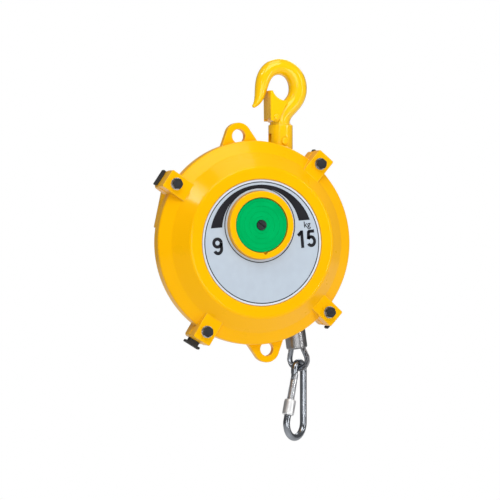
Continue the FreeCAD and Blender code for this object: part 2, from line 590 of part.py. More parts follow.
def drum_pieces():
    """Tapered, grooved rope drum with its rope, anchor and two bushes."""
    turns = int(size("drum_turns"))
    small_face = "(rope_depth + rope_radius + drum_flange_depth)"
    large_face = "(rope_depth - drum_turns * rope_pitch - rope_radius - drum_flange_depth)"
    body = new_body("rope_drum")
    outer = []
    for step in range(turns + 1):
        depth, radius = rope_row(step)
        outer.append((f"{radius} - rope_radius", f"{depth} + rope_radius"))
        outer.append((f"{radius} - rope_radius", f"{depth} - rope_radius"))
    small_rim, large_rim = "(rope_across + flange_over_rope)", "(drum_large + flange_over_rope)"
    inner_small = "rope_across - rope_radius - drum_wall"
    inner_large = "drum_large - rope_radius - drum_wall"
    web_back = f"{large_face} + drum_flange_depth + drum_wall"
    hub_front = f"({HUB_INSIDE} + free_gap)"
    arbor_end = f"({CAN_INSIDE} - hub_depth / 2 - case_wall - 2 * free_gap)"
    outline = (
        [("shaft_radius + bush_wall", hub_front), ("drum_hub_radius", hub_front),
         ("drum_hub_radius", large_face), (large_rim, large_face),
         (large_rim, f"{large_face} + drum_flange_depth")]
        + outer[::-1]
        + [(small_rim, f"{small_face} - drum_flange_depth"), (small_rim, small_face),
           (inner_small, small_face), (inner_large, web_back), ("drum_hub_radius", web_back),
           ("drum_hub_radius", small_face), ("arbor_radius", small_face), ("arbor_radius", arbor_end),
           ("shaft_radius + bush_wall", arbor_end)]
    )
    revolve(body, sketch(body, "drum_profile", "XY_Plane", [outline]))
    hole_depth = f"({large_face} + drum_flange_depth)"
    anchor = [("drum_large", "0", "anchor_radius")]
    pocket(body, sketch(body, "anchor_hole", "XZ_Plane", circles=anchor, lift=f"-{hole_depth}"),
           "2 * drum_flange_depth", backwards=True)
    node("rope_drum", body, shaft_place)
    anchor_face = size(large_face)
    plug = Part.makeCylinder(size("anchor_radius"), size("drum_flange_depth"),
                             Vector(size("drum_large"), anchor_face, 0), Y_AXIS)
    solid_node("rope_anchor", plug, shaft_place)

    rope_rings = []
    for step in range(turns + 1):
        depth, radius = rope_row(step)
        middle = Vector(0, size(depth), 0)
        rope_rings.append(Part.makeTorus(size(radius), size("rope_radius"), middle, Y_AXIS))
    solid_node("wound_rope", Part.makeCompound(rope_rings), shaft_place)
    front, length = size(hub_front), size("bush_length")
    far = size(arbor_end) - length
    rings = [bush_ring(start, length, size("shaft_radius + running_gap"), size("shaft_radius + bush_wall"))
             for start in (front, far)]
    solid_node("drum_bushes", Part.makeCompound(rings), shaft_place)


def bush_ring(start, length, inner, outer):
    """Plain bush along Y."""
    tube = Part.makeCylinder(outer, length, Vector(0, start, 0), Y_AXIS)
    return tube.cut(Part.makeCylinder(inner, length, Vector(0, start, 0), Y_AXIS))


def tooth_outline(lean):
    """Closed wire of the worm wheel's trapezoid teeth, leaned round the axis by some degrees."""
    teeth = int(size("wheel_teeth"))
    pitch_angle = FULL_TURN / teeth
    facing = 180 - size("worm_angle")
    radius = size("wheel_radius")
    crest, root = radius + size("tooth_addendum"), radius - size("tooth_dedendum")
    half_pitch = math.pi * radius / teeth
    half_thick = (half_pitch - size("tooth_backlash") / 2) / 2
    slope = math.tan(math.radians(size("pressure_angle")))
    points = []
    for tooth in range(teeth):
        middle = facing + (tooth + 0.5) * pitch_angle + lean
        for reach, hand in ((root, -1), (crest, -1), (crest, 1), (root, 1)):
            half = half_thick - (reach - radius) * slope
            angle = math.radians(middle) + hand * half / reach
            points.append(Vector(reach * math.cos(angle), 0, reach * math.sin(angle)))
    return Part.makePolygon(points + points[:1])


def spring_case_pieces():
    """Spring case with its worm-wheel rim, lid, bush and the coiled mainspring."""
    front, back = size("case_front"), size(f"{CAN_INSIDE} - hub_depth / 2 - free_gap")
    outer, wall = size("case_radius"), size("case_wall")
    body = new_body("case_cup")
    bore = "shaft_radius + bush_wall"
    cup = [
        (bore, f"{back} - case_wall"), ("case_radius - case_wall", f"{back} - case_wall"),
        ("case_radius - case_wall", "case_front + lid_depth"), ("case_radius", "case_front + lid_depth"),
        ("case_radius", str(back)), (bore, str(back)),
    ]
    revolve(body, sketch(body, "cup_profile", "XY_Plane", [cup]))
    doc.recompute()
    lean = math.degrees(math.atan(size("wheel_width / 2") * lead_slope() / size("wheel_radius")))
    half = size("wheel_width") / 2
    wires = []
    for hand in (-1, 1):
        wire = tooth_outline(-hand * lean)
        wire.translate(Vector(0, size("wheel_depth") + hand * half, 0))
        wires.append(wire)
    rim = Part.makeLoft(wires, True, True)
    rim = rim.cut(Part.makeCylinder(outer, 4 * half, Vector(0, size("wheel_depth") - 2 * half, 0), Y_AXIS))
    solid_node("spring_case", body.Shape.fuse(rim).removeSplitter(), shaft_place)

    lid = [("arbor_radius + 2 * free_gap", "case_front"), ("case_radius", "case_front"),
           ("case_radius", "case_front + lid_depth"),
           ("arbor_radius + 2 * free_gap", "case_front + lid_depth")]
    turned_piece("case_lid", lid, shaft_place)
    solid_node("case_bush", bush_ring(back - wall, wall, size("shaft_radius + running_gap"), size(bore)),
               shaft_place)
    spring_front = front + size("lid_depth + free_gap")
    solid_node("mainspring", spiral(spring_front, back - wall - size("free_gap")), shaft_place)


def spiral(front, back):
    """Flat mainspring strip wound from the arbor out to the case wall, drawn as half-turn arcs."""
    inner, strip = size("arbor_radius + free_gap"), size("spring_strip")
    half_turns = int(2 * size("spring_turns"))
    growth = (size("case_radius - case_wall - spring_strip") - inner) / half_turns

    def edge(extra):
        arcs = []
        for count in range(half_turns):
            centre, hand = growth * (count % 2), 1 - 2 * (count % 2)
            radius = inner + growth * count + extra
            start = Vector(centre + hand * radius, front, 0)
            crown = Vector(centre, front, hand * radius)
            arcs.append(Part.Arc(start, crown, Vector(centre - hand * radius, front, 0)))
        return arcs

    near, far = edge(0), edge(strip)
    ends = [Part.LineSegment(near[0].StartPoint, far[0].StartPoint),
            Part.LineSegment(near[-1].EndPoint, far[-1].EndPoint)]
    wire = Part.Wire(Part.sortEdges([curve.toShape() for curve in (*near, *far, *ends)])[0])
    return Part.Face(wire).extrude(Vector(0, back - front, 0))


def lead_slope():
    """Rise of the worm's thread per millimetre round its pitch circle."""
    return size("wheel_radius / wheel_teeth") / size("worm_radius")


def worm_pieces():
    """Single-start tension worm with its two bushes and the end plug, drawn along +Z."""
    pitch = math.tau * size("wheel_radius") / size("wheel_teeth")
    turns, radius, root_overlap = size("worm_turns"), size("worm_radius"), size("free_gap")
    length = turns * pitch
    crest, core = radius + size("tooth_addendum"), radius - size("tooth_dedendum + running_gap")
    half_thick = (pitch / 2 - size("tooth_backlash") / 2) / 2
    slope = math.tan(math.radians(size("pressure_angle")))
    start = -length / 2 - pitch
    helix = Part.makeHelix(pitch, length + 2 * pitch, radius)
    corners = []
    foot = core - root_overlap
    for reach, hand in ((foot, -1), (crest, -1), (crest, 1), (foot, 1)):
        corners.append(Vector(reach, 0, hand * (half_thick - (reach - radius) * slope)))
    profile = Part.makePolygon(corners + corners[:1])
    thread = Part.Wire(helix.Edges).makePipeShell([profile], True, True)
    thread.rotate(Vector(), Z_AXIS, FULL_TURN * start / pitch)
    thread.translate(Vector(0, 0, start))
    trim = Part.makeCylinder(crest + root_overlap, length, Vector(0, 0, -length / 2))
    barrel = Part.makeCylinder(core, length, Vector(0, 0, -length / 2))
    worm = barrel.fuse(thread.common(trim))
    half_boss, journal = size("worm_boss_length") / 2, size("worm_journal")
    top = half_boss - size("plug_depth + free_gap")
    worm = worm.fuse(Part.makeCylinder(journal, top + half_boss, Vector(0, 0, -half_boss)))
    head = hexagon_block(size("worm_head_flats"), size("worm_head_height"), 0)
    head.rotate(Vector(), X_AXIS, -90)
    head.translate(Vector(0, 0, -half_boss - size("free_gap")))
    solid_node("tension_worm", worm.fuse(head), worm_place)

    bush_length, bush_outer = size("worm_bush_length"), size("worm_journal + bush_wall")
    rings = []
    for low in (-half_boss, half_boss - bush_length):
        cut_top = size("plug_depth") if low > 0 else 0
        tube = Part.makeCylinder(bush_outer, bush_length - cut_top, Vector(0, 0, low))
        hole = Part.makeCylinder(size("worm_journal + running_gap"), bush_length, Vector(0, 0, low))
        rings.append(tube.cut(hole))
    solid_node("worm_bushes", Part.makeCompound(rings), worm_place)
    plug = Part.makeCylinder(bush_outer, size("plug_depth"), Vector(0, 0, half_boss - size("plug_depth")))
    solid_node("worm_plug", plug, worm_place)


def rope_outlet_pieces():
    """Nylon guide in the rope outlet and the rubber buffer below it."""
    bottom, length = "-outlet_bottom", "outlet_bottom - can_radius / 2 - shell_wall"
    inner = "rope_radius + 2 * free_gap"
    rim = f"({bottom} - guide_flange_depth)"
    guide = [
        (inner, f"{bottom} + guide_flange_depth"), ("guide_radius - bush_wall", rim),
        ("guide_flange", rim), ("guide_flange", bottom), ("guide_radius", bottom),
        ("guide_radius", f"{bottom} + {length}"),
        (inner, f"{bottom} + {length} - bush_wall"),
    ]
    turned_piece("rope_guide", guide, rope_place, "XZ_Plane")
    buffer_ring = tube_points("guide_radius - bush_wall", "sleeve_radius - running_gap",
                              f"{rim} - buffer_depth", rim)
    turned_piece("rubber_buffer", buffer_ring, rope_place, "XZ_Plane")


def eye_path():
    """Middle line of the rope's teardrop eye, in the XZ plane below the sleeve."""
    loop, centre = size("eye_loop_radius"), Vector(0, 0, -size("eye_loop_centre"))
    top = -size("sleeve_top + sleeve_length - strand_insert")
    start = Vector(size("strand_spread"), 0, top)
    gap = start - centre
    lean = math.atan2(gap.z, gap.x) - math.acos(loop / gap.Length)
    touch = centre + Vector(loop * math.cos(lean), 0, loop * math.sin(lean))
    mirrored = [Vector(-point.x, 0, point.z) for point in (touch, start)]
    edges = [
        Part.LineSegment(start, touch).toShape(),
        Part.Arc(touch, centre - Vector(0, 0, loop), mirrored[0]).toShape(),
        Part.LineSegment(mirrored[0], mirrored[1]).toShape(),
    ]
    return Part.Wire(edges), start, touch


def rope_end_pieces():
    """Free end of the rope: straight run, crimped sleeve, eye and the thimble inside it."""
    wire, start, touch = eye_path()
    along = (touch - start).normalize()
    section = Part.Wire(Part.Circle(start, along, size("rope_radius")).toShape())
    eye = wire.makePipeShell([section], True, True)
    inside = along.cross(Y_AXIS)
    if inside.x > 0:
        inside = -inside
    inner, outer = size("rope_radius"), size("rope_radius + thimble_wall")

    def rim(reach):
        ends = [start + Y_AXIS * reach, start - Y_AXIS * reach]
        return Part.Arc(ends[0], start + inside * reach, ends[1]).toShape(), ends

    (near, near_ends), (far, far_ends) = rim(inner), rim(outer)
    sides = [Part.LineSegment(a, b).toShape() for a, b in zip(near_ends, far_ends)]
    channel = Part.Wire(Part.sortEdges([near, sides[0], far, sides[1]])[0])
    thimble = wire.makePipeShell([channel], True, True)
    sleeve_bottom = -size("sleeve_top + sleeve_length")
    room = 2 * size("eye_loop_centre")
    trim = centred_box(room, room, sleeve_bottom - room, sleeve_bottom)
    solid_node("thimble", thimble.common(trim), twisted_place)
    solid_node("rope_eye", eye, twisted_place)

    run_top = size("shaft_rise - rope_across / 2")
    insert = -size("sleeve_top + strand_insert")
    run = Part.makeCylinder(size("rope_radius"), run_top - insert, Vector(0, 0, insert))
    solid_node("rope_run", run, rope_place)
    sleeve = Part.makeCylinder(size("sleeve_radius"), size("sleeve_length"), Vector(0, 0, sleeve_bottom))
    sleeve = sleeve.makeFillet(size("sleeve_round"), [edge for edge in sleeve.Edges if is_circle(edge)])
    solid_node("rope_sleeve", sleeve.cut(eye).cut(run), twisted_place)


def is_circle(edge):
    return isinstance(edge.Curve, Part.Circle)


def snap_frame():
    """Place of the snap hook: plumb, and hung on the lowest point of the tilted eye."""
    centre = twisted_place.multVec(Vector(0, 0, -size("eye_loop_centre")))
    across = twisted_place.Rotation.multVec(X_AXIS)
    upward = twisted_place.Rotation.multVec(Z_AXIS)
    lowest = (across * across.z + upward * upward.z) * -1
    strand = centre + lowest.normalize() * size("eye_loop_radius")
    hang = size("rope_radius + thimble_wall + free_gap") - size("snap_top_radius - snap_wire")
    return Placement(strand + Z_AXIS * hang, Rotation(Z_AXIS, size("snap_azimuth")))


def gate_lean():
    """Angle of the closed gate from the vertical, so that the bend below it ends over the base arc."""
    bend, length = size("snap_bend_radius"), size("gate_length + free_gap + nose_length")
    across = size("2 * snap_base_radius - 2 * snap_top_radius")
    return math.atan2(bend, length) + math.asin((across - bend) / math.hypot(bend, length))


def arc_between(start, heading, end):
    """Arc that leaves a point along a heading and ends in another point."""
    chord = end - start
    normal = heading.cross(chord).cross(heading).normalize()
    radius = chord.Length ** 2 / (2 * chord.dot(normal))
    centre = start + normal * radius
    return Part.Arc(start, centre + (start + chord / 2 - centre).normalize() * radius, end)


def snap_route(hinge, heading):
    """Middle line of the bent wire, from the nose round the base and over the top to the hinge."""
    top, base, bend = size("snap_top_radius"), size("snap_base_radius"), size("snap_bend_radius")
    left = top - 2 * base
    nose = hinge + heading * size("gate_length + free_gap")
    bend_start = nose + heading * size("nose_length")
    bend_end = Vector(left, 0, bend_start.z + bend * heading.x)
    floor = size("snap_top_radius + 2 * snap_wire + snap_base_radius - snap_length")
    side = Vector(top, 0, floor)
    tang_top = hinge + Z_AXIS * size("snap_wire + free_gap")
    return nose, [
        Part.LineSegment(nose, bend_start),
        arc_between(bend_start, heading, bend_end),
        Part.LineSegment(bend_end, Vector(left, 0, floor)),
        Part.Arc(Vector(left, 0, floor), Vector(top - base, 0, floor - base), side),
        Part.LineSegment(side, Vector(top, 0, 0)),
        Part.Arc(Vector(top, 0, 0), Vector(0, 0, top), Vector(-top, 0, 0)),
        Part.LineSegment(Vector(-top, 0, 0), tang_top),
    ]


def centred_box(width, depth, low, high):
    """Box centred on the Z axis between two heights."""
    return Part.makeBox(width, depth, high - low, Vector(-width / 2, -depth / 2, low))


def cross_cylinder(radius, width, centre=None):
    """Cylinder along Y, centred on a point."""
    return Part.makeCylinder(radius, width, (centre or Vector()) - Y_AXIS * width / 2, Y_AXIS)


def snap_hook_pieces():
    """Pear-shaped snap hook: bent wire body, hinged gate with its pin and spring, locking sleeve."""
    place = snap_frame()
    wire, lean = size("snap_wire"), gate_lean()
    hinge = Vector(-size("snap_top_radius"), 0, -size("gate_drop"))
    nose, route = snap_route(hinge, Vector(-math.sin(lean), 0, -math.cos(lean)))
    section = Part.Wire(Part.Circle(nose, nose - hinge, wire).toShape())
    body = Part.Wire([step.toShape() for step in route]).makePipeShell([section], True, True)
    tang = centred_box(2 * wire, size("tang_thickness"), 0, wire + 3 * size("free_gap"))
    tang = tang.fuse(cross_cylinder(wire, size("tang_thickness")))
    tang.translate(hinge)
    pin_hole = cross_cylinder(size("gate_pin_radius + running_gap"), 4 * wire, hinge)
    solid_node("snap_hook_body", body.fuse(tang).cut(pin_hole).removeSplitter(), place)

    gate_place = place * Placement(hinge, Rotation(Y_AXIS, math.degrees(lean)))
    solid_node("gate_pin", cross_cylinder(size("gate_pin_radius"), 2 * wire), gate_place)
    gate = Part.makeCylinder(wire, size("gate_length"), Vector(0, 0, -size("gate_length")))
    knuckle = cross_cylinder(wire, 2 * wire).common(Part.makeCylinder(wire, 2 * wire, Vector(0, 0, -wire)))
    slot = centred_box(4 * wire, size("gate_slot"), -wire - size("free_gap"), 2 * wire)
    well_depth = 2 * wire
    well = Part.makeCylinder(size("gate_spring_radius"), well_depth, Vector(0, 0, -wire - well_depth))
    gate = gate.fuse(knuckle).cut(slot).cut(well).cut(cross_cylinder(size("gate_pin_radius"), 4 * wire))
    solid_node("snap_gate", gate.removeSplitter(), gate_place)
    spring_room = centred_box(4 * wire, 4 * wire, -4 * wire, -wire - size("free_gap"))
    solid_node("gate_spring", well.common(spring_room), gate_place)

    low, length = -size("lock_from_hinge + lock_length"), size("lock_length")
    lock = Part.makeCylinder(size("lock_radius"), length, Vector(0, 0, low))
    lock = lock.makeChamfer(size("lock_radius") / 10, [edge for edge in lock.Edges if is_circle(edge)])
    lock = lock.cut(Part.makeCylinder(size("snap_wire + running_gap"), length, Vector(0, 0, low)))
    solid_node("lock_sleeve", lock, gate_place)


# Forged hook: across and up from the suspension point, and radius, from the base to the tip.
HOOK_STATIONS = [
    (1.7, -43.5, 9.4), (10.1, -33, 9.1), (16.7, -24.5, 9.3), (19.2, -13.5, 9.6), (16.3, -2.5, 9.4),
    (8.6, 5.7, 8.9), (-2.5, 8.5, 8.5), (-13.2, 4.2, 8.0), (-19.4, -5.5, 7.4), (-22.0, -16.5, 6.3),
    (-24.6, -26, 4.5), (-29.4, -32.8, 2.0),
]
HOOK_SECTIONS = 16


def top_hook_pieces():
    """Forged top hook with its swivel stem, washer and nut."""
    neck_top = size("neck_above_pin - pin_drop")
    base = neck_top + size("thrust_washer_depth")
    stations = [(0, base, size("hook_base_radius"))] + HOOK_STATIONS
    curve = Part.BSplineCurve()
    curve.interpolate([Vector(across, radius, height) for across, height, radius in stations])
    length = curve.length()
    rings = []
    for count in range(HOOK_SECTIONS + 1):
        spot = curve.parameterAtDistance(length * count / HOOK_SECTIONS, curve.FirstParameter)
        across, radius, height = curve.value(spot)
        heading = curve.tangent(spot)[0]
        along = Vector(heading.x, 0, heading.z) if count else Z_AXIS
        tip_centre, tip_radius = Vector(across, 0, height), radius
        rings.append(Part.Wire(Part.Circle(tip_centre, along, radius).toShape()))
    forged = Part.makeLoft(rings, True, False)
    pivot = Vector(size("latch_across"), 0, -size("latch_drop"))
    lug = cross_cylinder(size("latch_lug_radius"), size("latch_lug_width"), pivot)
    roof = neck_top - size("roof_depth + 2 * running_gap")
    stem_end = roof - size("nut_height")
    stem = Part.makeCylinder(size("stem_radius"), base - stem_end, Vector(0, 0, stem_end))
    tip = Part.makeSphere(tip_radius + size("running_gap"), tip_centre)
    forged = forged.fuse([tip, lug, stem])
    forged = forged.cut(cross_cylinder(size("rivet_radius"), 2 * size("latch_width"), pivot))
    solid_node("top_hook", forged, hook_place)
    nut = Part.makeCylinder(size("nut_radius"), size("nut_height"), Vector(0, 0, stem_end))
    bore = Part.makeCylinder(size("stem_radius"), size("nut_height"), Vector(0, 0, stem_end))
    solid_node("swivel_nut", nut.cut(bore), hook_place)
    ring = Part.makeCylinder(size("hook_base_radius"), base - neck_top, Vector(0, 0, neck_top))
    hole = Part.makeCylinder(size("stem_radius"), base - neck_top, Vector(0, 0, neck_top))
    solid_node("thrust_washer", ring.cut(hole), hook_place)


def is_upright(edge, across):
    """Whether an edge runs straight up at a place across."""
    box = edge.BoundBox
    upright = max(box.XLength, box.YLength) < box.ZLength / 2
    return upright and abs(edge.CenterOfMass.x - across) < size("free_gap")


def latch_pieces():
    """Folded sheet latch that closes the hook's mouth, its rivet and the two spring coils."""
    pivot_place = Placement(Vector(size("latch_across"), 0, -size("latch_drop")), Rotation())
    latch_place = pivot_place * Placement(Vector(), Rotation(Y_AXIS, -size("latch_lean")))
    spine, width, sheet = size("latch_spine"), size("latch_width"), size("latch_sheet")
    foot, tall, reach = size("latch_foot_radius"), size("latch_height"), size("latch_cheek_reach")
    shoulder, dip = size("latch_shoulder"), size("latch_dip")
    left = -spine - sheet
    heel = Rotation(Y_AXIS, size("latch_heel_angle")).multVec(X_AXIS * foot)
    toe = Rotation(Y_AXIS, size("latch_toe_angle")).multVec(X_AXIS * foot)
    brow = Vector(left + 2 * sheet, 0, tall)
    corner = Vector(reach, 0, shoulder)
    hollow = (brow + corner) / 2 - Vector(dip / 2, 0, dip)
    outline = [
        Part.LineSegment(Vector(left, 0, toe.z), Vector(left, 0, tall)),
        Part.LineSegment(Vector(left, 0, tall), brow),
        Part.Arc(brow, hollow, corner),
        Part.LineSegment(corner, heel),
        Part.Arc(heel, Vector(0, 0, -foot), toe),
        Part.LineSegment(toe, Vector(left, 0, toe.z)),
    ]
    face = Part.Face(Part.Wire([step.toShape() for step in outline]))
    face.translate(-Y_AXIS * width / 2)
    inner = width - 2 * sheet
    channel = Part.makeBox(4 * reach, inner, 4 * tall, Vector(-spine, -inner / 2, -2 * tall))
    foot_gap = Part.makeBox(sheet, inner, size("latch_spine_foot"), Vector(left, -inner / 2, toe.z))
    hole = cross_cylinder(size("rivet_radius + running_gap"), 2 * width)
    folded = face.extrude(Y_AXIS * width)
    folds = [edge for edge in folded.Edges if is_upright(edge, left)]
    folded = folded.makeFillet(size("latch_fold"), folds)
    solid_node("safety_latch", folded.cut([channel, foot_gap, hole]), latch_place)
    rivet = cross_cylinder(size("rivet_radius"), width)
    heads = cross_cylinder(size("rivet_head"), width + 2 * sheet)
    heads = heads.cut(cross_cylinder(size("rivet_head"), width))
    solid_node("latch_rivet", rivet.fuse(heads).removeSplitter(), pivot_place)
    coil_middle = (size("latch_lug_width") + width - 2 * sheet) / 4
    coil_wire = size("latch_coil_wire")
    coils = [Part.makeTorus(size("rivet_radius + running_gap") + coil_wire, coil_wire,
                            Vector(0, hand * coil_middle, 0), Y_AXIS) for hand in (-1, 1)]
    solid_node("latch_spring", Part.makeCompound(coils), pivot_place)


def neck_pieces():
    """Swivelling neck: forked below for the housing's tongue, with the hanger pin and its clip."""
    body = new_body("hanger_neck")
    column = [
        ("0", "-neck_below_pin"), ("neck_radius", "-neck_below_pin"),
        ("neck_radius", "neck_above_pin"), ("0", "neck_above_pin"),
    ]
    revolve(body, sketch(body, "column", "XZ_Plane", [column]))
    round_edges(body, "neck_chamfer", lambda edge: is_ring(edge, "neck_radius", "neck_above_pin", "z"))
    slot = [
        ("-slot_width / 2", "-2 * neck_below_pin"), ("slot_width / 2", "-2 * neck_below_pin"),
        ("slot_width / 2", "slot_above_pin"), ("-slot_width / 2", "slot_above_pin"),
    ]
    pocket(body, sketch(body, "fork_slot", "YZ_Plane", [slot]))
    stem_bore = [("0", "0", "stem_radius + running_gap")]
    pocket(body, sketch(body, "stem_bore", "XY_Plane", circles=stem_bore, lift="neck_above_pin"),
           "neck_above_pin - slot_above_pin")
    nut_room = [("0", "0", "nut_radius + free_gap")]
    pocket(body, sketch(body, "nut_room", "XY_Plane", circles=nut_room, lift="neck_above_pin - roof_depth"),
           "neck_above_pin - roof_depth - slot_above_pin + free_gap")
    pocket(body, sketch(body, "pin_bore", "XZ_Plane", circles=[("0", "0", "hanger_pin_radius")]))
    for hand in (1, -1):
        seat = [("0", "0", "clip_radius + free_gap")]
        name = "front_seat" if hand > 0 else "rear_seat"
        drawing = sketch(body, name, "XZ_Plane", circles=seat, lift=f"{hand} * 2 * neck_radius")
        pocket(body, drawing, "2 * neck_radius - spot_face", backwards=hand < 0)
    node("hanger_neck", body, pin_place)

    clip_end = "(spot_face + clip_depth)"
    pin = [
        ("0", "-spot_face - pin_head_height"), ("pin_head_radius", "-spot_face - pin_head_height"),
        ("pin_head_radius", "-spot_face"), ("hanger_pin_radius", "-spot_face"),
        ("hanger_pin_radius", f"{clip_end} + clip_depth"), ("0", f"{clip_end} + clip_depth"),
    ]
    pin_body = new_body("hanger_pin")
    revolve(pin_body, sketch(pin_body, "pin_profile", "XY_Plane", [pin]))
    round_edges(pin_body, "pin_head_height * 3 / 4",
                lambda edge: is_ring(edge, "pin_head_radius", "-spot_face - pin_head_height"))
    node("hanger_pin", pin_body, pin_place)
    clip = tube_points("hanger_pin_radius", "clip_radius", "spot_face", clip_end)
    turned_piece("pin_clip", clip, pin_place)


front_cover()
rear_housing()
bolt_set()
washer_set()
bumper_set()
label_plate()
shaft_pieces()
drum_pieces()
spring_case_pieces()
worm_pieces()
rope_outlet_pieces()
rope_end_pieces()
snap_hook_pieces()
top_hook_pieces()
latch_pieces()
neck_pieces()
doc.recompute()

broken = [item.Name for item in doc.Objects if {"Invalid", "Error"} & set(item.State)]
for item in nodes:
    if item.Shape.isNull() or not item.Shape.isValid() or not item.Shape.Solids:
        broken.append(item.Label)
if broken:
    raise RuntimeError(f"not sound: {broken}")
os.makedirs("parts", exist_ok=True)
for item in nodes:
    item.Shape.exportStep(f"parts/{item.Label}.step")
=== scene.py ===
"""Looks of a spring tool balancer, built round its packed construction.

The part's frame is in metres: +Z up and plumb, the dial facing -Y, and the origin at the point of
the top hook that hangs on the rail.  Every sub-assembly is drawn in millimetres on a stand and then
settled into that frame.  The dial and the disc stand on the housing's face, Z towards the viewer.
"""

import json
import logging
import math
from collections.abc import Sequence
from dataclasses import dataclass
from enum import Enum
from typing import Any

import bpy
from mathutils import Matrix, Vector

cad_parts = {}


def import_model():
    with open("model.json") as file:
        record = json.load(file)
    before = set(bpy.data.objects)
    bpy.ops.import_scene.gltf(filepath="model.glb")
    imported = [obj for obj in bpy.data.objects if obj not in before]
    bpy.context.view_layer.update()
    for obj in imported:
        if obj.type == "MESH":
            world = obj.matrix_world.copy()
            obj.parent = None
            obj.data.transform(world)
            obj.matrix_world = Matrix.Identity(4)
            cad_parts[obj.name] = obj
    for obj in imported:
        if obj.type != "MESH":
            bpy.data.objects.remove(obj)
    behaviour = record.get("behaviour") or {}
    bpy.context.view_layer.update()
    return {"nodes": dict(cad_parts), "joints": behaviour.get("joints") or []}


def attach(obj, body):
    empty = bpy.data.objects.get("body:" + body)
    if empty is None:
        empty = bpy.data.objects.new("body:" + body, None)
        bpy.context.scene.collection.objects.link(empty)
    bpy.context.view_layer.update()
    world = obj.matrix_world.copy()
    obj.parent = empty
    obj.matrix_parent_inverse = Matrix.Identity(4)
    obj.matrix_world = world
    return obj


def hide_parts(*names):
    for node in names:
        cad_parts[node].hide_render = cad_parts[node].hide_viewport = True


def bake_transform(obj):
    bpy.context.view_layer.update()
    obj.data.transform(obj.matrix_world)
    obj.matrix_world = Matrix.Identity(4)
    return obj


LOG = logging.getLogger("balancer")
MM = 0.001

Colour = tuple[float, float, float]
Point = tuple[float, float]
Outline = list[Point]
Node = bpy.types.Node
Socket = bpy.types.NodeSocket
Piece = bpy.types.Object


# ---------------------------------------------------------------- node desk

class Desk:
    """A material's node tree, with short ways to add and join its nodes."""

    def __init__(self, name: str) -> None:
        """Start an empty material.

        Args:
            name: the material's name.
        """
        self.material = bpy.data.materials.new(name)
        self.material.use_nodes = True
        self.tree = self.material.node_tree
        self.tree.nodes.clear()
        self.place = self.add("ShaderNodeTexCoord").outputs["Object"]

    def add(self, kind: str, **values: Any) -> Node:
        """Add a node.

        Args:
            kind: the node's type.
            values: its properties, or its input sockets with spaces as underscores.

        Returns:
            The new node.
        """
        made = self.tree.nodes.new(kind)
        for word, value in values.items():
            socket = made.inputs.get(word.replace("_", " "))
            if socket is None:
                setattr(made, word, value)
            elif isinstance(value, bpy.types.NodeSocket):
                self.tree.links.new(value, socket)
            else:
                socket.default_value = value
        return made

    def noise(self, scale: float, detail: float) -> Socket:
        """Fractal noise in the piece's own space.

        Args:
            scale: features per metre.
            detail: octaves of finer noise.

        Returns:
            The noise's value, from 0 to 1.
        """
        node = self.add("ShaderNodeTexNoise", Vector=self.place, Scale=scale, Detail=detail)
        return node.outputs["Fac"]

    def ranged(self, value: Socket, low: float, high: float, start: float = 0.3,
               end: float = 0.7) -> Socket:
        """Map a value from start..end to low..high.

        Args:
            value: the value to map.
            low: result at start.
            high: result at end.
            start: value that gives low.
            end: value that gives high.

        Returns:
            The mapped value.
        """
        node = self.add("ShaderNodeMapRange", Value=value, From_Min=start, From_Max=end,
                        To_Min=low, To_Max=high)
        return node.outputs["Result"]

    def mixed(self, share: Socket, first: Colour | Socket, second: Colour) -> Socket:
        """Blend two colours by a share.

        Args:
            share: 0 gives the first colour, 1 the second.
            first: one colour.
            second: the other colour.

        Returns:
            The blended colour.
        """
        node = self.add("ShaderNodeMix", data_type="RGBA")
        self.tree.links.new(share, node.inputs[0])
        if isinstance(first, bpy.types.NodeSocket):
            self.tree.links.new(first, node.inputs[6])
        else:
            node.inputs[6].default_value = (*first, 1)
        node.inputs[7].default_value = (*second, 1)
        return node.outputs[2]

    def bump(self, height: Socket, depth: float, under: Socket | None = None) -> Socket:
        """Relief from a height value.

        Args:
            height: the value that gives the relief.
            depth: metres that a value of 1 stands out.
            under: a relief that this one lies on.

        Returns:
            The normal.
        """
        node = self.add("ShaderNodeBump", Height=height, Distance=depth, Strength=1)
        if under is not None:
            self.tree.links.new(under, node.inputs["Normal"])
        return node.outputs["Normal"]

    def surface(self, **values: Any) -> bpy.types.Material:
        """Finish the material with one principled surface.

        Args:
            values: the surface's sockets.

        Returns:
            The finished material.
        """
        shader = self.add("ShaderNodeBsdfPrincipled", **values)
        output = self.add("ShaderNodeOutputMaterial")
        self.tree.links.new(shader.outputs["BSDF"], output.inputs["Surface"])
        return self.material


# ---------------------------------------------------------------- finishes

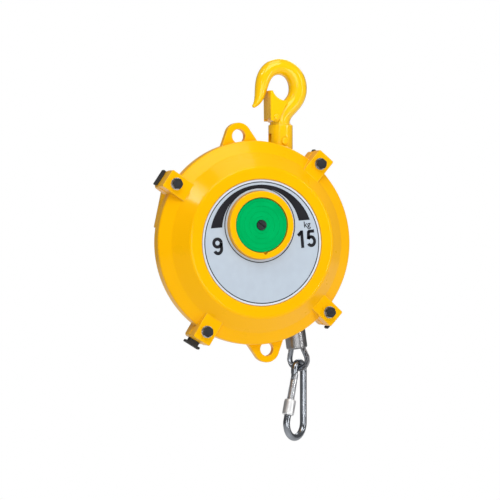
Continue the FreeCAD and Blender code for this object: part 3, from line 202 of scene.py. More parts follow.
@dataclass(frozen=True)
class Enamel:
    """Sprayed gloss enamel over a casting: soft waviness, orange peel, a clear coat and a painted
    highlight along the edges.

    Scales are features per metre, wave, peel and edge are metres, and the rest are shares.
    """

    name: str
    slot: str
    colour: Colour
    deep: Colour
    roughness: float = 0.3
    wave: float = 0.00012
    peel: float = 0.00001
    coat: float = 0.22
    coat_roughness: float = 0.12
    gloss: float = 0.4
    edge: float = 0.0018
    # Colour and share of the painted highlight, laid lighter along every edge.
    highlight_colour: Colour = (1.0, 0.68, 0.12)
    highlight_share: float = 0.6
    smoother: float = 0.05
    rougher: float = 0.07
    colour_scale: float = 14
    wave_scale: float = 70
    peel_scale: float = 1500
    rough_scale: float = 45
    patch_scale: float = 60
    least_patch: float = 0.35
    sharp_turn: float = 0.8
    soft_turn: float = 0.985

    def build(self) -> bpy.types.Material:
        """Make the material.

        Returns:
            The material.
        """
        desk = Desk(self.name)
        sprayed = desk.mixed(desk.ranged(desk.noise(self.colour_scale, 4), 0, 1), self.deep, self.colour)
        eased = desk.add("ShaderNodeBevel", samples=6, Radius=self.edge).outputs["Normal"]
        # Painted highlight: the edges are mixed towards a lighter cream yellow.
        base = desk.mixed(self.painted_edge_highlight(desk, eased), sprayed, self.highlight_colour)
        waves = desk.bump(desk.noise(self.wave_scale, 2), self.wave, under=eased)
        relief = desk.bump(desk.noise(self.peel_scale, 1), self.peel, under=waves)
        worn = desk.ranged(desk.noise(self.rough_scale, 5), self.roughness - self.smoother,
                           self.roughness + self.rougher)
        return desk.surface(Base_Color=base, Roughness=worn, Normal=relief, Coat_Weight=self.coat,
                            Coat_Roughness=self.coat_roughness, Specular_IOR_Level=self.gloss,
                            Specular_Tint=(*self.colour, 1))

    def painted_edge_highlight(self, desk: Desk, eased: Socket) -> Socket:
        """Share of the painted highlight along the edges: lighter on the edges only, in uneven patches.

        Args:
            desk: the material's desk.
            eased: the normal that turns softly over an edge.

        Returns:
            The share.
        """
        flat = desk.add("ShaderNodeNewGeometry").outputs["True Normal"]
        turn = desk.add("ShaderNodeVectorMath", operation="DOT_PRODUCT")
        desk.tree.links.new(eased, turn.inputs[0])
        desk.tree.links.new(flat, turn.inputs[1])
        # Painted highlight where the eased normal turns away from the true normal, at the edges.
        edge = desk.ranged(turn.outputs["Value"], self.highlight_share, 0, self.sharp_turn, self.soft_turn)
        patches = desk.ranged(desk.noise(self.patch_scale, 3), self.least_patch, 1.0)
        both = desk.add("ShaderNodeMath", operation="MULTIPLY")
        desk.tree.links.new(edge, both.inputs[0])
        desk.tree.links.new(patches, both.inputs[1])
        return both.outputs[0]


@dataclass(frozen=True)
class Steel:
    """Bare or plated steel with handling marks, its scales in features per metre."""

    name: str
    slot: str
    colour: Colour
    dark: Colour
    roughness: float = 0.25
    grain: float = 0.000008
    spread: float = 0.08
    metallic: float = 1.0
    stain_scale: float = 120
    stain_start: float = 0.35
    stain_end: float = 0.65
    mark_scale: float = 900

    def build(self) -> bpy.types.Material:
        """Make the material.

        Returns:
            The material.
        """
        desk = Desk(self.name)
        share = desk.ranged(desk.noise(self.stain_scale, 5), 0, 1, self.stain_start, self.stain_end)
        stain = desk.mixed(share, self.dark, self.colour)
        marks = desk.noise(self.mark_scale, 3)
        worn = desk.ranged(marks, self.roughness - self.spread, self.roughness + self.spread)
        relief = desk.bump(marks, self.grain)
        return desk.surface(Base_Color=stain, Roughness=worn, Normal=relief, Metallic=self.metallic)


@dataclass(frozen=True)
class Moulded:
    """Moulded plastic or rubber with a fine eroded grain, its scales in features per metre."""

    name: str
    slot: str
    colour: Colour
    faded: Colour
    roughness: float = 0.6
    grain: float = 0.00003
    gloss: float = 0.3
    tinted: bool = False
    spread: float = 0.08
    grain_scale: float = 1400
    fade_scale: float = 60
    rough_scale: float = 200

    def build(self) -> bpy.types.Material:
        """Make the material.

        Returns:
            The material.
        """
        desk = Desk(self.name)
        base = desk.mixed(desk.ranged(desk.noise(self.fade_scale, 4), 0, 1), self.colour, self.faded)
        relief = desk.bump(desk.noise(self.grain_scale, 2), self.grain)
        worn = desk.ranged(desk.noise(self.rough_scale, 3), self.roughness - self.spread,
                           self.roughness + self.spread)
        tint = self.colour if self.tinted else (1, 1, 1)
        return desk.surface(Base_Color=base, Roughness=worn, Normal=relief,
                            Specular_IOR_Level=self.gloss, Specular_Tint=(*tint, 1))


class Finishes(Enum):
    """Every finish on the balancer."""

    HOUSING = Enamel("housing_enamel", "housing_paint", (0.95, 0.472, 0.0), (0.91, 0.442, 0.0))
    HOOK = Enamel("hook_enamel", "hook_paint", (0.94, 0.565, 0.002), (0.89, 0.51, 0.0),
                  roughness=0.24, wave=0.0002, coat=0.7, coat_roughness=0.07, edge=0.0008)
    DISC = Moulded("disc_plastic", "disc_green", (0.0, 0.41, 0.105), (0.0, 0.36, 0.088),
                   roughness=0.42, grain=0.00001, gloss=0.15, tinted=True)
    PLATE = Steel("dial_sheet", "dial_metal", (0.46, 0.53, 0.61), (0.44, 0.505, 0.585),
                  roughness=0.42, grain=0.000003, metallic=0.15)
    INK = Moulded("dial_ink", "nylon_black", (0.006, 0.006, 0.01), (0.01, 0.01, 0.015),
                  roughness=0.4, grain=0.000003, gloss=0.21)
    BOLT = Steel("bolt_black_oxide", "black_steel", (0.032, 0.032, 0.036), (0.02, 0.02, 0.023),
                 roughness=0.42, grain=0.00002, metallic=0.6)
    ZINC = Steel("bright_zinc_plate", "bright_zinc", (0.66, 0.67, 0.69), (0.5, 0.51, 0.54),
                 roughness=0.28)
    WHITE_ZINC = Steel("white_zinc_plate", "bright_zinc", (0.86, 0.86, 0.86), (0.75, 0.75, 0.76),
                       roughness=0.42)
    BRIGHT = Steel("polished_steel", "dark_steel", (0.3, 0.32, 0.35), (0.25, 0.265, 0.29),
                   roughness=0.2, grain=0.0000006, spread=0.02)
    FERRULE = Steel("pressed_ferrule", "dark_steel", (0.3, 0.3, 0.305), (0.22, 0.22, 0.225),
                    roughness=0.33, grain=0.000004)
    ROPE = Steel("drawn_wire", "rope_steel", (0.3, 0.305, 0.32), (0.12, 0.12, 0.13),
                 roughness=0.3, grain=0.00001)
    RUBBER = Moulded("black_rubber", "black_rubber", (0.016, 0.016, 0.017), (0.03, 0.03, 0.031),
                     roughness=0.66, grain=0.00006)
    NYLON = Moulded("black_nylon", "nylon_black", (0.02, 0.02, 0.022), (0.03, 0.03, 0.032),
                    roughness=0.5)
    CAST = Steel("cast_alloy", "drum_alloy", (0.5, 0.51, 0.53), (0.36, 0.37, 0.39),
                 roughness=0.45, grain=0.00002)
    BRONZE = Steel("bush_bronze", "bronze", (0.62, 0.42, 0.19), (0.5, 0.32, 0.13), roughness=0.35)
    SPRING = Steel("blued_strip", "spring_steel", (0.2, 0.23, 0.3), (0.12, 0.14, 0.2), roughness=0.3)
    BORDER = Moulded("dial_border", "dial_metal", (0.66, 0.7, 0.76), (0.6, 0.64, 0.7),
                     roughness=0.35, grain=0.000002)

    def material(self) -> bpy.types.Material:
        """The finish's material, made once."""
        made = bpy.data.materials.get(self.value.name)
        return made or self.value.build()


NODE_FINISHES: dict[Finishes, tuple[str, ...]] = {
    Finishes.HOUSING: ("front_cover", "rear_housing"),
    Finishes.HOOK: ("top_hook", "safety_latch", "latch_rivet", "hanger_neck", "hanger_pin",
                    "thrust_washer"),
    Finishes.DISC: ("end_disc",),
    Finishes.PLATE: ("label_plate",),
    Finishes.BOLT: ("cover_bolts", "disc_screw", "worm_plug"),
    Finishes.ZINC: ("bolt_washers", "shaft_nut", "snap_gate", "gate_pin"),
    Finishes.WHITE_ZINC: ("lock_sleeve",),
    Finishes.FERRULE: ("rope_sleeve",),
    Finishes.BRIGHT: ("snap_hook_body", "thimble", "main_shaft", "tension_worm",
                      "swivel_nut", "pin_clip", "case_lid", "rope_anchor"),
    Finishes.ROPE: ("rope_eye", "rope_run", "wound_rope"),
    Finishes.RUBBER: ("lug_bumpers", "rubber_buffer"),
    Finishes.NYLON: ("rope_guide",),
    Finishes.CAST: ("rope_drum", "spring_case"),
    Finishes.BRONZE: ("drum_bushes", "case_bush", "worm_bushes"),
    Finishes.SPRING: ("mainspring", "latch_spring", "gate_spring"),
}


# ---------------------------------------------------------------- bench

class Bench:
    """Edit-mode operations that every new piece is shaped with, in millimetres."""

    @staticmethod
    def clear() -> None:
        """Let go of everything, so that an operator acts on its own piece only."""
        bpy.ops.object.select_all(action="DESELECT")

    @staticmethod
    def take(name: str) -> Piece:
        """Name the primitive that was just added and put its place in its mesh.

        Args:
            name: the piece's name.

        Returns:
            The piece.
        """
        piece = bpy.context.object
        piece.name = name
        bpy.ops.object.transform_apply(location=True, rotation=True, scale=True)
        return piece

    @staticmethod
    def turned(name: str, rings: Sequence[Point], sides: int, hollow: bool = False) -> Piece:
        """Turned piece along its own Z, extruded ring by ring from a circle.

        Args:
            name: the piece's name.
            rings: radius and height of each ring in turn.
            sides: how many sides the circle has.
            hollow: whether the rings close on themselves round an open middle.

        Returns:
            The piece.
        """
        Bench.clear()
        radius, height = rings[0]
        bpy.ops.mesh.primitive_circle_add(vertices=sides, radius=radius, location=(0, 0, height),
                                          fill_type="NOTHING" if hollow else "NGON")
        piece = Bench.take(name)
        bpy.ops.object.mode_set(mode="EDIT")
        bpy.ops.mesh.select_all(action="SELECT")
        for wide, high in (*rings[1:], rings[0]) if hollow else rings[1:]:
            bpy.ops.mesh.extrude_region_move(TRANSFORM_OT_translate={"value": (0, 0, high - height)})
            growth = wide / radius
            bpy.ops.transform.resize(value=(growth, growth, 1), center_override=(0, 0, high))
            radius, height = wide, high
        bpy.ops.mesh.select_all(action="SELECT")
        bpy.ops.mesh.remove_doubles(threshold=0.001)
        bpy.ops.mesh.normals_make_consistent(inside=False)
        bpy.ops.object.mode_set(mode="OBJECT")
        return piece

    @staticmethod
    def wound(name: str, wire: float, reach: float, rise: float, turns: float, steps: int,
              sides: int, lying: bool = False) -> Piece:
        """Round wire wound about the piece's own Z.

        Args:
            name: the piece's name.
            wire: radius of the wire.
            reach: radius of the wire's middle line.
            rise: how far the winding climbs in all.
            turns: how many turns it makes.
            steps: how many sections it has.
            sides: how many sides the wire has.
            lying: whether the wire's circle starts level, for a long lay as in rope.

        Returns:
            The piece.
        """
        Bench.clear()
        lean = 0.0 if lying else math.pi / 2
        bpy.ops.mesh.primitive_circle_add(vertices=sides, radius=wire, location=(reach, 0, 0),
                                          rotation=(lean, 0, 0))
        piece = Bench.take(name)
        Bench.modify(piece, "SCREW", angle=math.tau * turns, screw_offset=rise, steps=steps,
                     render_steps=steps, use_smooth_shade=True, axis="Z")
        bpy.ops.object.mode_set(mode="EDIT")
        bpy.ops.mesh.select_all(action="SELECT")
        bpy.ops.mesh.fill_holes(sides=0)
        bpy.ops.mesh.normals_make_consistent(inside=False)
        bpy.ops.object.mode_set(mode="OBJECT")
        return piece

    @staticmethod
    def modify(piece: Piece, kind: str, **settings: Any) -> None:
        """Add a modifier to a piece and apply it.

        Args:
            piece: the piece.
            kind: the modifier's type.
            settings: its properties.
        """
        Bench.clear()
        bpy.context.view_layer.objects.active = piece
        piece.select_set(True)
        added = piece.modifiers.new(kind.lower(), kind)
        for word, value in settings.items():
            setattr(added, word, value)
        bpy.ops.object.modifier_apply(modifier=added.name)

    @staticmethod
    def joined(name: str, pieces: Sequence[Piece]) -> Piece:
        """Join several pieces into one.

        Args:
            name: the new piece's name.
            pieces: what is joined.

        Returns:
            The joined piece.
        """
        Bench.clear()
        for piece in pieces:
            piece.select_set(True)
        bpy.context.view_layer.objects.active = pieces[0]
        bpy.ops.object.join()
        pieces[0].name = name
        return pieces[0]

    @staticmethod
    def copy(piece: Piece, move: Matrix) -> Piece:
        """Copy of a piece with its own mesh, moved within it.

        Args:
            piece: what is copied.
            move: how the copy's mesh is moved.

        Returns:
            The copy.
        """
        double = piece.copy()
        double.data = piece.data.copy()
        bpy.context.scene.collection.objects.link(double)
        double.data.transform(move)
        return double

    @staticmethod
    def flat(name: str, outlines: Sequence[Outline], thickness: float, edge: float = 0.0) -> Piece:
        """Flat sheet with holes, cut from closed outlines.

        Args:
            name: the piece's name.
            outlines: closed rows of points, the outside first.
            thickness: how thick it is, standing on its own level 0.
            edge: how much its edges are eased.

        Returns:
            The sheet.
        """
        drawing = bpy.data.curves.new(name, "CURVE")
        drawing.dimensions = "2D"
        drawing.fill_mode = "BOTH"
        drawing.extrude = thickness / 2 - edge
        drawing.bevel_depth = edge
        for outline in outlines:
            line = drawing.splines.new("POLY")
            line.points.add(len(outline) - 1)
            for point, (across, up) in zip(line.points, outline):
                point.co = (across, up, 0, 1)
            line.use_cyclic_u = True
        sheet = bpy.data.objects.new(name, drawing)
        bpy.context.scene.collection.objects.link(sheet)
        return Bench.solid(sheet, Matrix.Translation((0, 0, thickness / 2)))

    @staticmethod
    def lettering(name: str, words: str, height: float, narrow: float, weight: float,
                  thickness: float) -> Piece:
        """Flat printed numerals, centred on their own origin.

        Args:
            name: the piece's name.
            words: what is printed.
            height: the font's size.
            narrow: how wide each stroke of the pen goes against its height.
            weight: how much bolder than the font.
            thickness: how thick the ink lies.

        Returns:
            The print.
        """
        Bench.clear()
        bpy.ops.object.text_add(location=(0, 0, 0))
        text = bpy.context.object
        text.name = name
        text.data.body = words
        text.data.size = height
        text.data.offset = weight
        text.data.extrude = thickness / 2
        text.data.align_x = "CENTER"
        text.data.align_y = "CENTER"
        return Bench.solid(text, Matrix.Diagonal((narrow, 1, 1, 1)))

    @staticmethod
    def solid(drawn: Piece, move: Matrix) -> Piece:
        """Turn text or a flat curve into a mesh, then move it within its mesh.

        Args:
            drawn: the text or curve.
            move: how its mesh is moved.

        Returns:
            The piece.
        """
        Bench.clear()
        drawn.select_set(True)
        bpy.context.view_layer.objects.active = drawn
        bpy.ops.object.convert(target="MESH")
        drawn.data.transform(move)
        return drawn


def arc(middle: Point, across: float, up: float, start: float, end: float,
        steps: int = 28) -> Outline:
    """Points along part of an ellipse.

    Args:
        middle: its centre.
        across: its half width.
        up: its half height.
        start: degrees at the first point.
        end: degrees at the last point.
        steps: how many stretches it has.

    Returns:
        The points.
    """
    turns = [math.radians(start + (end - start) * step / steps) for step in range(steps + 1)]
    return [(middle[0] + across * math.cos(turn), middle[1] + up * math.sin(turn)) for turn in turns]


def stroke(spots: Outline, pen: float) -> Outline:
    """Outline that a broad pen leaves along a row of points.

    Args:
        spots: the points that the pen passes.
        pen: how broad it is.

    Returns:
        The outline.
    """
    left, right = [], []
    for before, spot, after in zip([spots[0], *spots[:-1]], spots, [*spots[1:], spots[-1]]):
        along = (Vector(after) - Vector(before)).normalized() * pen / 2
        left.append((spot[0] - along.y, spot[1] + along.x))
        right.append((spot[0] + along.y, spot[1] - along.x))
    return left + right[::-1]


def circle(radius: float, middle: Point = (0.0, 0.0), sides: int = 160) -> Outline:
    """Points round a circle.

    Args:
        radius: its radius.
        middle: its centre.
        sides: how many points.

    Returns:
        The points.
    """
    return [(middle[0] + radius * math.cos(math.tau * step / sides),
             middle[1] + radius * math.sin(math.tau * step / sides)) for step in range(sides)]


def stand(origin: Vector, across: Vector, up: Vector) -> Matrix:
    """Place to model at in millimetres: X across, Y up, Z out of the two.

    Args:
        origin: its origin in metres.
        across: its X.
        up: its Y.

    Returns:
        The matrix that settles a piece into the part's frame.
    """
    out = across.cross(up)
    turn = Matrix((across, up, out)).transposed().to_4x4()
    return Matrix.Translation(origin) @ turn @ Matrix.Scale(MM, 4)


@dataclass
class Places:
    """Where things are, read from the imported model's joints."""

    joints: dict[str, dict[str, Any]]
    shaft_rise: float = 0.018
    rope_across: float = 0.0406
    rope_twist: float = -45.0

    def axis(self, joint: str) -> Vector:
        """Direction of a joint."""
        return Vector(self.joints[joint]["axis"]).normalized()

    def point(self, joint: str) -> Vector:
        """Point that a joint turns about."""
        return Vector(self.joints[joint]["pos_m"])

    @property
    def up(self) -> Vector:
        """The tilted housing's own upward direction."""
        return -self.axis("rope_pull")

    @property
    def across(self) -> Vector:
        """The tilted housing's own direction to the right."""
        return Vector((0, 1, 0)).cross(self.up)

    @property
    def centre(self) -> Vector:
        """Middle of the joint between the two shells."""
        return self.point("drum_turn") - self.up * self.shaft_rise

    def face(self, out: float, rise: float = 0.0, lean: float = 0.0) -> Matrix:
        """Stand on the housing's face, Z towards the viewer.

        Args:
            out: millimetres in front of the joint between the shells.
            rise: millimetres above the middle.
            lean: degrees that it is turned on the face.

        Returns:
            The stand.
        """
        base = stand(self.centre, self.across, self.up)
        return base @ Matrix.Translation((0, rise, out)) @ Matrix.Rotation(math.radians(lean), 4, "Z")

    def rope(self, twist: float = 0.0) -> Matrix:
        """Stand on the rope's line at the housing's middle height, Z up along the rope.

        Args:
            twist: degrees that it is turned about the rope.

        Returns:
            The stand.
        """
        back = Vector((0, 1, 0))
        middle = self.centre + self.across * self.rope_across
        middle.y = 0
        return stand(middle, self.across, back) @ Matrix.Rotation(math.radians(twist), 4, "Z")

    def gate(self) -> Matrix:
        """Stand on the gate's hinge, Z up along the gate."""
        along, side = -self.axis("lock_slide"), -self.axis("gate_hinge")
        return stand(self.point("gate_hinge"), side.cross(along), side)


@dataclass
class Assembly:
    """One sub-assembly, sized in millimetres: it builds, settles and dresses its pieces."""

    places: Places
    body: str = "housing"

    def build(self) -> None:
        """Build every piece of the sub-assembly."""
        raise NotImplementedError

    def settle(self, piece: Piece, place: Matrix, finish: Finishes, smooth: float | None,
               stands_for: str | None = None) -> None:
        """Dress a finished piece in its place and let it ride on its body.

        Args:
            piece: the piece, in its stand's millimetres.
            place: the stand.
            finish: its finish.
            smooth: the angle in degrees that faces are smoothed up to.
            stands_for: the construction node that it replaces.
        """
        self.dressed(piece, place, finish, smooth, stands_for)
        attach(piece, self.body)

    def dressed(self, piece: Piece, place: Matrix, finish: Finishes, smooth: float | None,
                stands_for: str | None) -> None:
        """Put a finished piece in its place and dress it.

        Args:
            piece: the piece, in its stand's millimetres.
            place: the stand.
            finish: its finish.
            smooth: the angle in degrees that faces are smoothed up to.
            stands_for: the construction node that it replaces.
        """
        piece.data.transform(place)
        if smooth is not None:
            Bench.clear()
            piece.select_set(True)
            bpy.context.view_layer.objects.active = piece
            bpy.ops.object.shade_smooth_by_angle(angle=math.radians(smooth))
        piece.data.materials.clear()
        piece.data.materials.append(finish.material())
        if stands_for:
            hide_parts(stands_for)
        LOG.info("%s: %d faces, %s", piece.name, len(piece.data.polygons), finish.value.name)


# ---------------------------------------------------------------- dial

class Numeral(Enum):
    """Pen strokes of the figures on the dial, in millimetres round their own middle."""

    ONE = (((0.6, 9), (0.6, -9)), ((0.6, 7.6), (-3.6, 3.9)))
    FIVE = (((4.0, 7.35), (-2.75, 7.35)), ((-2.1, 7.8), (-2.95, -0.6)),
            tuple(arc((-0.1, -2.9), 3.75, 4.45, 148, -150)))
    NINE = (tuple(arc((0, 3.35), 3.95, 4.0, 0, 360)),
            ((3.95, 3.4), (3.95, -2.0), *arc((0, -2.3), 3.95, 5.05, 0, -152)))


@dataclass
class Dial(Assembly):
    """Dial plate with its printed rings, swelling band and numerals."""

    plate_radius: float = 64.3
    plate_depth: float = 27.1
    plate_thickness: float = 0.8
    plate_edge: float = 0.12
    boss_rise: float = 18.0
    boss_hole: float = 35.3
    ink: float = 0.06
    print_lean: float = -3.0
    line: float = 0.95
    outer_line: float = 61.9
    inner_line: float = 37.9
    border_inset: float = 0.15
    border_width: float = 1.6
    pen: float = 3.3
    figures: tuple[tuple[str, Numeral, Point], ...] = (
        ("dial_nine", Numeral.NINE, (-48.2, 0.4)),
        ("dial_fifteen_tens", Numeral.ONE, (43.2, -0.2)),
        ("dial_fifteen_units", Numeral.FIVE, (53.6, -0.2)),
    )
    unit_size: float = 8.8
    unit_narrow: float = 0.95
    unit_weight: float = 0.12
    unit_place: Point = (50.4, 14.2)
    band_outer: Point = (56.4, 2.8)
    band_inner: Point = (42.0, 13.7)
    band_floor: float = 19.0
    band_steps: int = 30

    def build(self) -> None:
        """Cut the plate and lay the prints on it."""
        outlines = [circle(self.plate_radius), circle(self.boss_hole, (0, self.boss_rise))]
        plate = Bench.flat("dial_plate", outlines, self.plate_thickness, self.plate_edge)
        self.settle(plate, self.places.face(self.plate_depth), Finishes.PLATE, smooth=20,
                    stands_for="label_plate")
        top = self.plate_depth + self.plate_thickness
        self.ring("dial_border", self.plate_radius - self.border_inset, self.border_width, 0.0,
                  Finishes.BORDER, top)
        self.ring("dial_outer_line", self.outer_line + self.line / 2, self.line, 0.0,
                  Finishes.INK, top)
        self.ring("dial_inner_line", self.inner_line + self.line / 2, self.line, self.boss_rise,
                  Finishes.INK, top)
        printed = self.places.face(top, lean=self.print_lean)
        band = Bench.flat("dial_band", [self.band()], self.ink)
        self.settle(band, printed, Finishes.INK, smooth=None)
        for name, numeral, spot in self.figures:
            lines = [Bench.flat(name, [stroke(list(line), self.pen)], self.ink) for line in numeral.value]
            figure = Bench.joined(name, lines)
            figure.data.transform(Matrix.Translation((*spot, 0)))
            self.settle(figure, printed, Finishes.INK, smooth=None)
        unit = Bench.lettering("dial_unit", "kg", self.unit_size, self.unit_narrow, self.unit_weight,
                               self.ink)
        unit.data.transform(Matrix.Translation((*self.unit_place, self.ink / 2)))
        self.settle(unit, printed, Finishes.INK, smooth=None)

    def ring(self, name: str, outer: float, width: float, rise: float, finish: Finishes,
             top: float) -> None:
        """Print a ring on the plate.

        Args:
            name: the print's name.
            outer: its outer radius.
            width: how wide it is.
            rise: how far its middle is above the plate's.
            finish: its finish.
            top: how far the plate's face is in front.
        """
        ring = Bench.flat(name, [circle(outer), circle(outer - width)], self.ink)
        self.settle(ring, self.places.face(top, rise), finish, smooth=None)

    def band(self) -> Outline:
        """Outline of the band, which swells from the top to both its ends.

        Returns:
            The outline.
        """
        outline = []
        for (radius, rise), sense in ((self.band_outer, 1), (self.band_inner, -1)):
            end = math.asin((self.band_floor - rise) / radius)
            reach = math.pi / 2 - end
            for step in range(2 * self.band_steps + 1):
                turn = math.pi / 2 + sense * reach * (1 - step / self.band_steps)
                outline.append((radius * math.cos(turn), rise + radius * math.sin(turn)))
        return outline


@dataclass
class EndDisc(Assembly):
    """Green end disc with its turned rings."""

    seat: float = 29.9
    radius: float = 27.5
    thickness: float = 3.2
    back: float = 0.2
    edge: float = 0.5
    edge_middle: Point = (0.16, 0.2)
    rise: float = 18.0
    grooves: tuple[float, ...] = (8.6, 13.8, 19.2, 24.4)
    groove_width: float = 0.5
    groove_floor: float = 0.3
    groove_depth: float = 0.22
    screw_hole: float = 5.3
    hole_edge: float = 0.3
    sides: int = 128

    def build(self) -> None:
        """Turn the disc and cut its rings."""
        face = self.thickness
        inset, drop = self.edge_middle
        rings = [(self.screw_hole, self.back), (self.radius, self.back),
                 (self.radius, face - self.edge), (self.radius - inset, face - drop),
                 (self.radius - self.edge, face)]
        half = self.groove_width / 2
        floor = half * self.groove_floor
        for groove in reversed(self.grooves):
            rings += [(groove + half, face), (groove + floor, face - self.groove_depth),
                      (groove - floor, face - self.groove_depth), (groove - half, face)]
        rings += [(self.screw_hole + self.hole_edge, face), (self.screw_hole, face - self.hole_edge)]
        disc = Bench.turned("green_disc", rings, self.sides, hollow=True)
        self.settle(disc, self.places.face(self.seat, self.rise), Finishes.DISC, smooth=30,
                    stands_for="end_disc")


# ---------------------------------------------------------------- rope

@dataclass
class WireRope(Assembly):
    """Six-strand wire rope: the straight run and the eye that is bent round the thimble."""

    body: str = "rope_end"
    strand: float = 0.82
    lay: float = 1.57
    pitch: float = 31.0
    run_top: float = -2.3
    sleeve_top: float = -93.2
    insert: float = 6.0
    sleeve_bottom: float = -117.2
    spread: float = 5.3
    loop_radius: float = 10.4
    loop_centre: float = -128.6
    strands: int = 6
    strand_sides: int = 10
    run_steps: int = 48
    eye_steps: int = 72
    path_steps: int = 24

    def build(self) -> None:
        """Lay both lengths of rope."""
        length = self.run_top - self.sleeve_top + self.insert
        run = self.laid("laid_rope_run", length, self.run_steps)
        place = self.places.rope() @ Matrix.Translation((0, 0, self.sleeve_top - self.insert))
        self.dress_run(run, place)
        path, reach = self.eye_path()
        eye = self.laid("laid_rope_eye", reach, self.eye_steps)
        Bench.modify(eye, "CURVE", object=path, deform_axis="POS_Z")
        bpy.data.objects.remove(path)
        self.settle(eye, self.places.rope(self.places.rope_twist), Finishes.ROPE, smooth=60,
                    stands_for="rope_eye")

    def laid(self, name: str, length: float, steps: int) -> Piece:
        """Straight rope of twisted strands round a core.

        Args:
            name: the rope's name.
            length: how long it is.
            steps: how many sections each strand has.

        Returns:
            The rope, standing on its own origin.
        """
        first = Bench.wound(name, self.strand, self.lay, length, length / self.pitch, steps,
                            self.strand_sides, lying=True)
        pieces = [first]
        for count in range(1, self.strands):
            pieces.append(Bench.copy(first, Matrix.Rotation(math.tau * count / self.strands, 4, "Z")))
        heights = [(self.strand, length * step / steps) for step in range(steps + 1)]
        pieces.append(Bench.turned("core", heights, self.strand_sides))
        return Bench.joined(name, pieces)

    def dress_run(self, run: Piece, place: Matrix) -> None:
        """Settle the straight run, which is drawn out between the drum and the sleeve.

        Args:
            run: the straight run.
            place: its stand.
        """
        self.dressed(run, place, Finishes.ROPE, smooth=None, stands_for="rope_run")
        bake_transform(run)

    def eye_path(self) -> tuple[Piece, float]:
        """Middle line of the eye: two straight legs on a round loop.

        Returns:
            The line as a curve, and its length.
        """
        top = self.sleeve_bottom + self.insert
        gap = Vector((self.spread, top - self.loop_centre))
        lean = math.atan2(gap.y, gap.x) - math.acos(self.loop_radius / gap.length)
        touch = Vector((math.cos(lean), 0, math.sin(lean))) * self.loop_radius
        tangent = Vector((math.sin(lean), 0, -math.cos(lean)))
        # Handles of this length make a curve follow the circle's arc.
        pull = 4 / 3 * math.tan((lean + math.pi / 2) / 4) * self.loop_radius
        centre = Vector((0, 0, self.loop_centre))
        start = Vector((self.spread, 0, top))
        touch += centre
        lead = (touch - start) / 3
        knots = [(start, start - lead, start + lead), (touch, touch - lead, touch + tangent * pull)]
        bottom = centre - Vector((0, 0, self.loop_radius))
        side = Vector((pull, 0, 0))
        knots.append((bottom, bottom + side, bottom - side))
        mirror = Vector((-1, 1, 1))
        knots += [(spot * mirror, after * mirror, before * mirror)
                  for spot, before, after in knots[1::-1]]
        drawing = bpy.data.curves.new("eye_path", "CURVE")
        drawing.dimensions = "3D"
        drawing.resolution_u = self.path_steps
        line = drawing.splines.new("BEZIER")
        line.bezier_points.add(len(knots) - 1)
        for point, (spot, before, after) in zip(line.bezier_points, knots):
            point.co, point.handle_left, point.handle_right = spot, before, after
        path = bpy.data.objects.new("eye_path", drawing)
        bpy.context.scene.collection.objects.link(path)
        return path, line.calc_length()


# ---------------------------------------------------------------- snap hook

@dataclass
class Gate(Assembly):
    """Screw thread on the gate and the small coil spring inside it."""

    body: str = "gate"
    radius: float = 3.6
    thread_pitch: float = 1.5
    thread_top: float = -12.0
    thread_length: float = 27.0
    thread_wire: float = 0.45
    thread_steps: int = 600
    coil_wire: float = 0.24
    coil_radius: float = 1.0
    coil_top: float = -4.2
    coil_length: float = 6.6
    coil_turns: float = 8
    coil_steps: int = 160
    wire_sides: int = 6

    def build(self) -> None:
        """Cut the thread and wind the spring."""
        thread = Bench.wound("gate_thread", self.thread_wire, self.radius, -self.thread_length,
                             self.thread_length / self.thread_pitch, self.thread_steps, self.wire_sides)
        place = self.places.gate() @ Matrix.Translation((0, 0, self.thread_top))
        self.settle(thread, place, Finishes.ZINC, smooth=60)
        coil = Bench.wound("gate_coil", self.coil_wire, self.coil_radius, -self.coil_length,
                           self.coil_turns, self.coil_steps, self.wire_sides)
        spot = self.places.gate() @ Matrix.Translation((0, 0, self.coil_top))
        self.settle(coil, spot, Finishes.SPRING, smooth=60, stands_for="gate_spring")


@dataclass
class LockSleeve(Assembly):
    """Knurled sleeve that screws down the gate and locks it."""

    body: str = "lock"
    radius: float = 6.2
    bore: float = 4.0
    top: float = -24.6
    length: float = 16.0
    edge: float = 0.4
    collar: float = 1.2
    knurl_depth: float = 0.28
    knurl_rows: int = 18
    knurl_sides: int = 44
    margin: float = 0.1

    def build(self) -> None:
        """Turn the sleeve and press the knurl between its collars."""
        low, high = self.top - self.length, self.top
        bright = self.radius - self.knurl_depth
        start, end = low + self.collar, high - self.collar
        rows = [(bright, start + (end - start) * row / self.knurl_rows)
                for row in range(self.knurl_rows + 1)]
        rings = [(self.bore, low), (bright - self.edge, low), (bright, low + self.edge), *rows,
                 (bright, high - self.edge), (bright - self.edge, high), (self.bore, high)]
        sleeve = Bench.turned("knurled_sleeve", rings, self.knurl_sides, hollow=True)
        self.knurl(sleeve, start, end)
        self.settle(sleeve, self.places.gate(), Finishes.WHITE_ZINC, smooth=12,
                    stands_for="lock_sleeve")

    def knurl(self, sleeve: Piece, start: float, end: float) -> None:
        """Raise every other point of the sleeve's grip, which leaves crossed ridges.

        Args:
            sleeve: the sleeve.
            start: the grip's lower end.
            end: the grip's upper end.
        """
        rise = (end - start) / self.knurl_rows
        for point in sleeve.data.vertices:
            flat = math.hypot(point.co.x, point.co.y)
            gripped = start + self.margin < point.co.z < end - self.margin
            if flat < self.bore + self.margin or not gripped:
                continue
            row = round((point.co.z - start) / rise)
            side = round(math.atan2(point.co.y, point.co.x) * self.knurl_sides / math.tau)
            if (row + side) % 2 == 0:
                point.co.x *= self.radius / flat
                point.co.y *= self.radius / flat


# ---------------------------------------------------------------- top hook

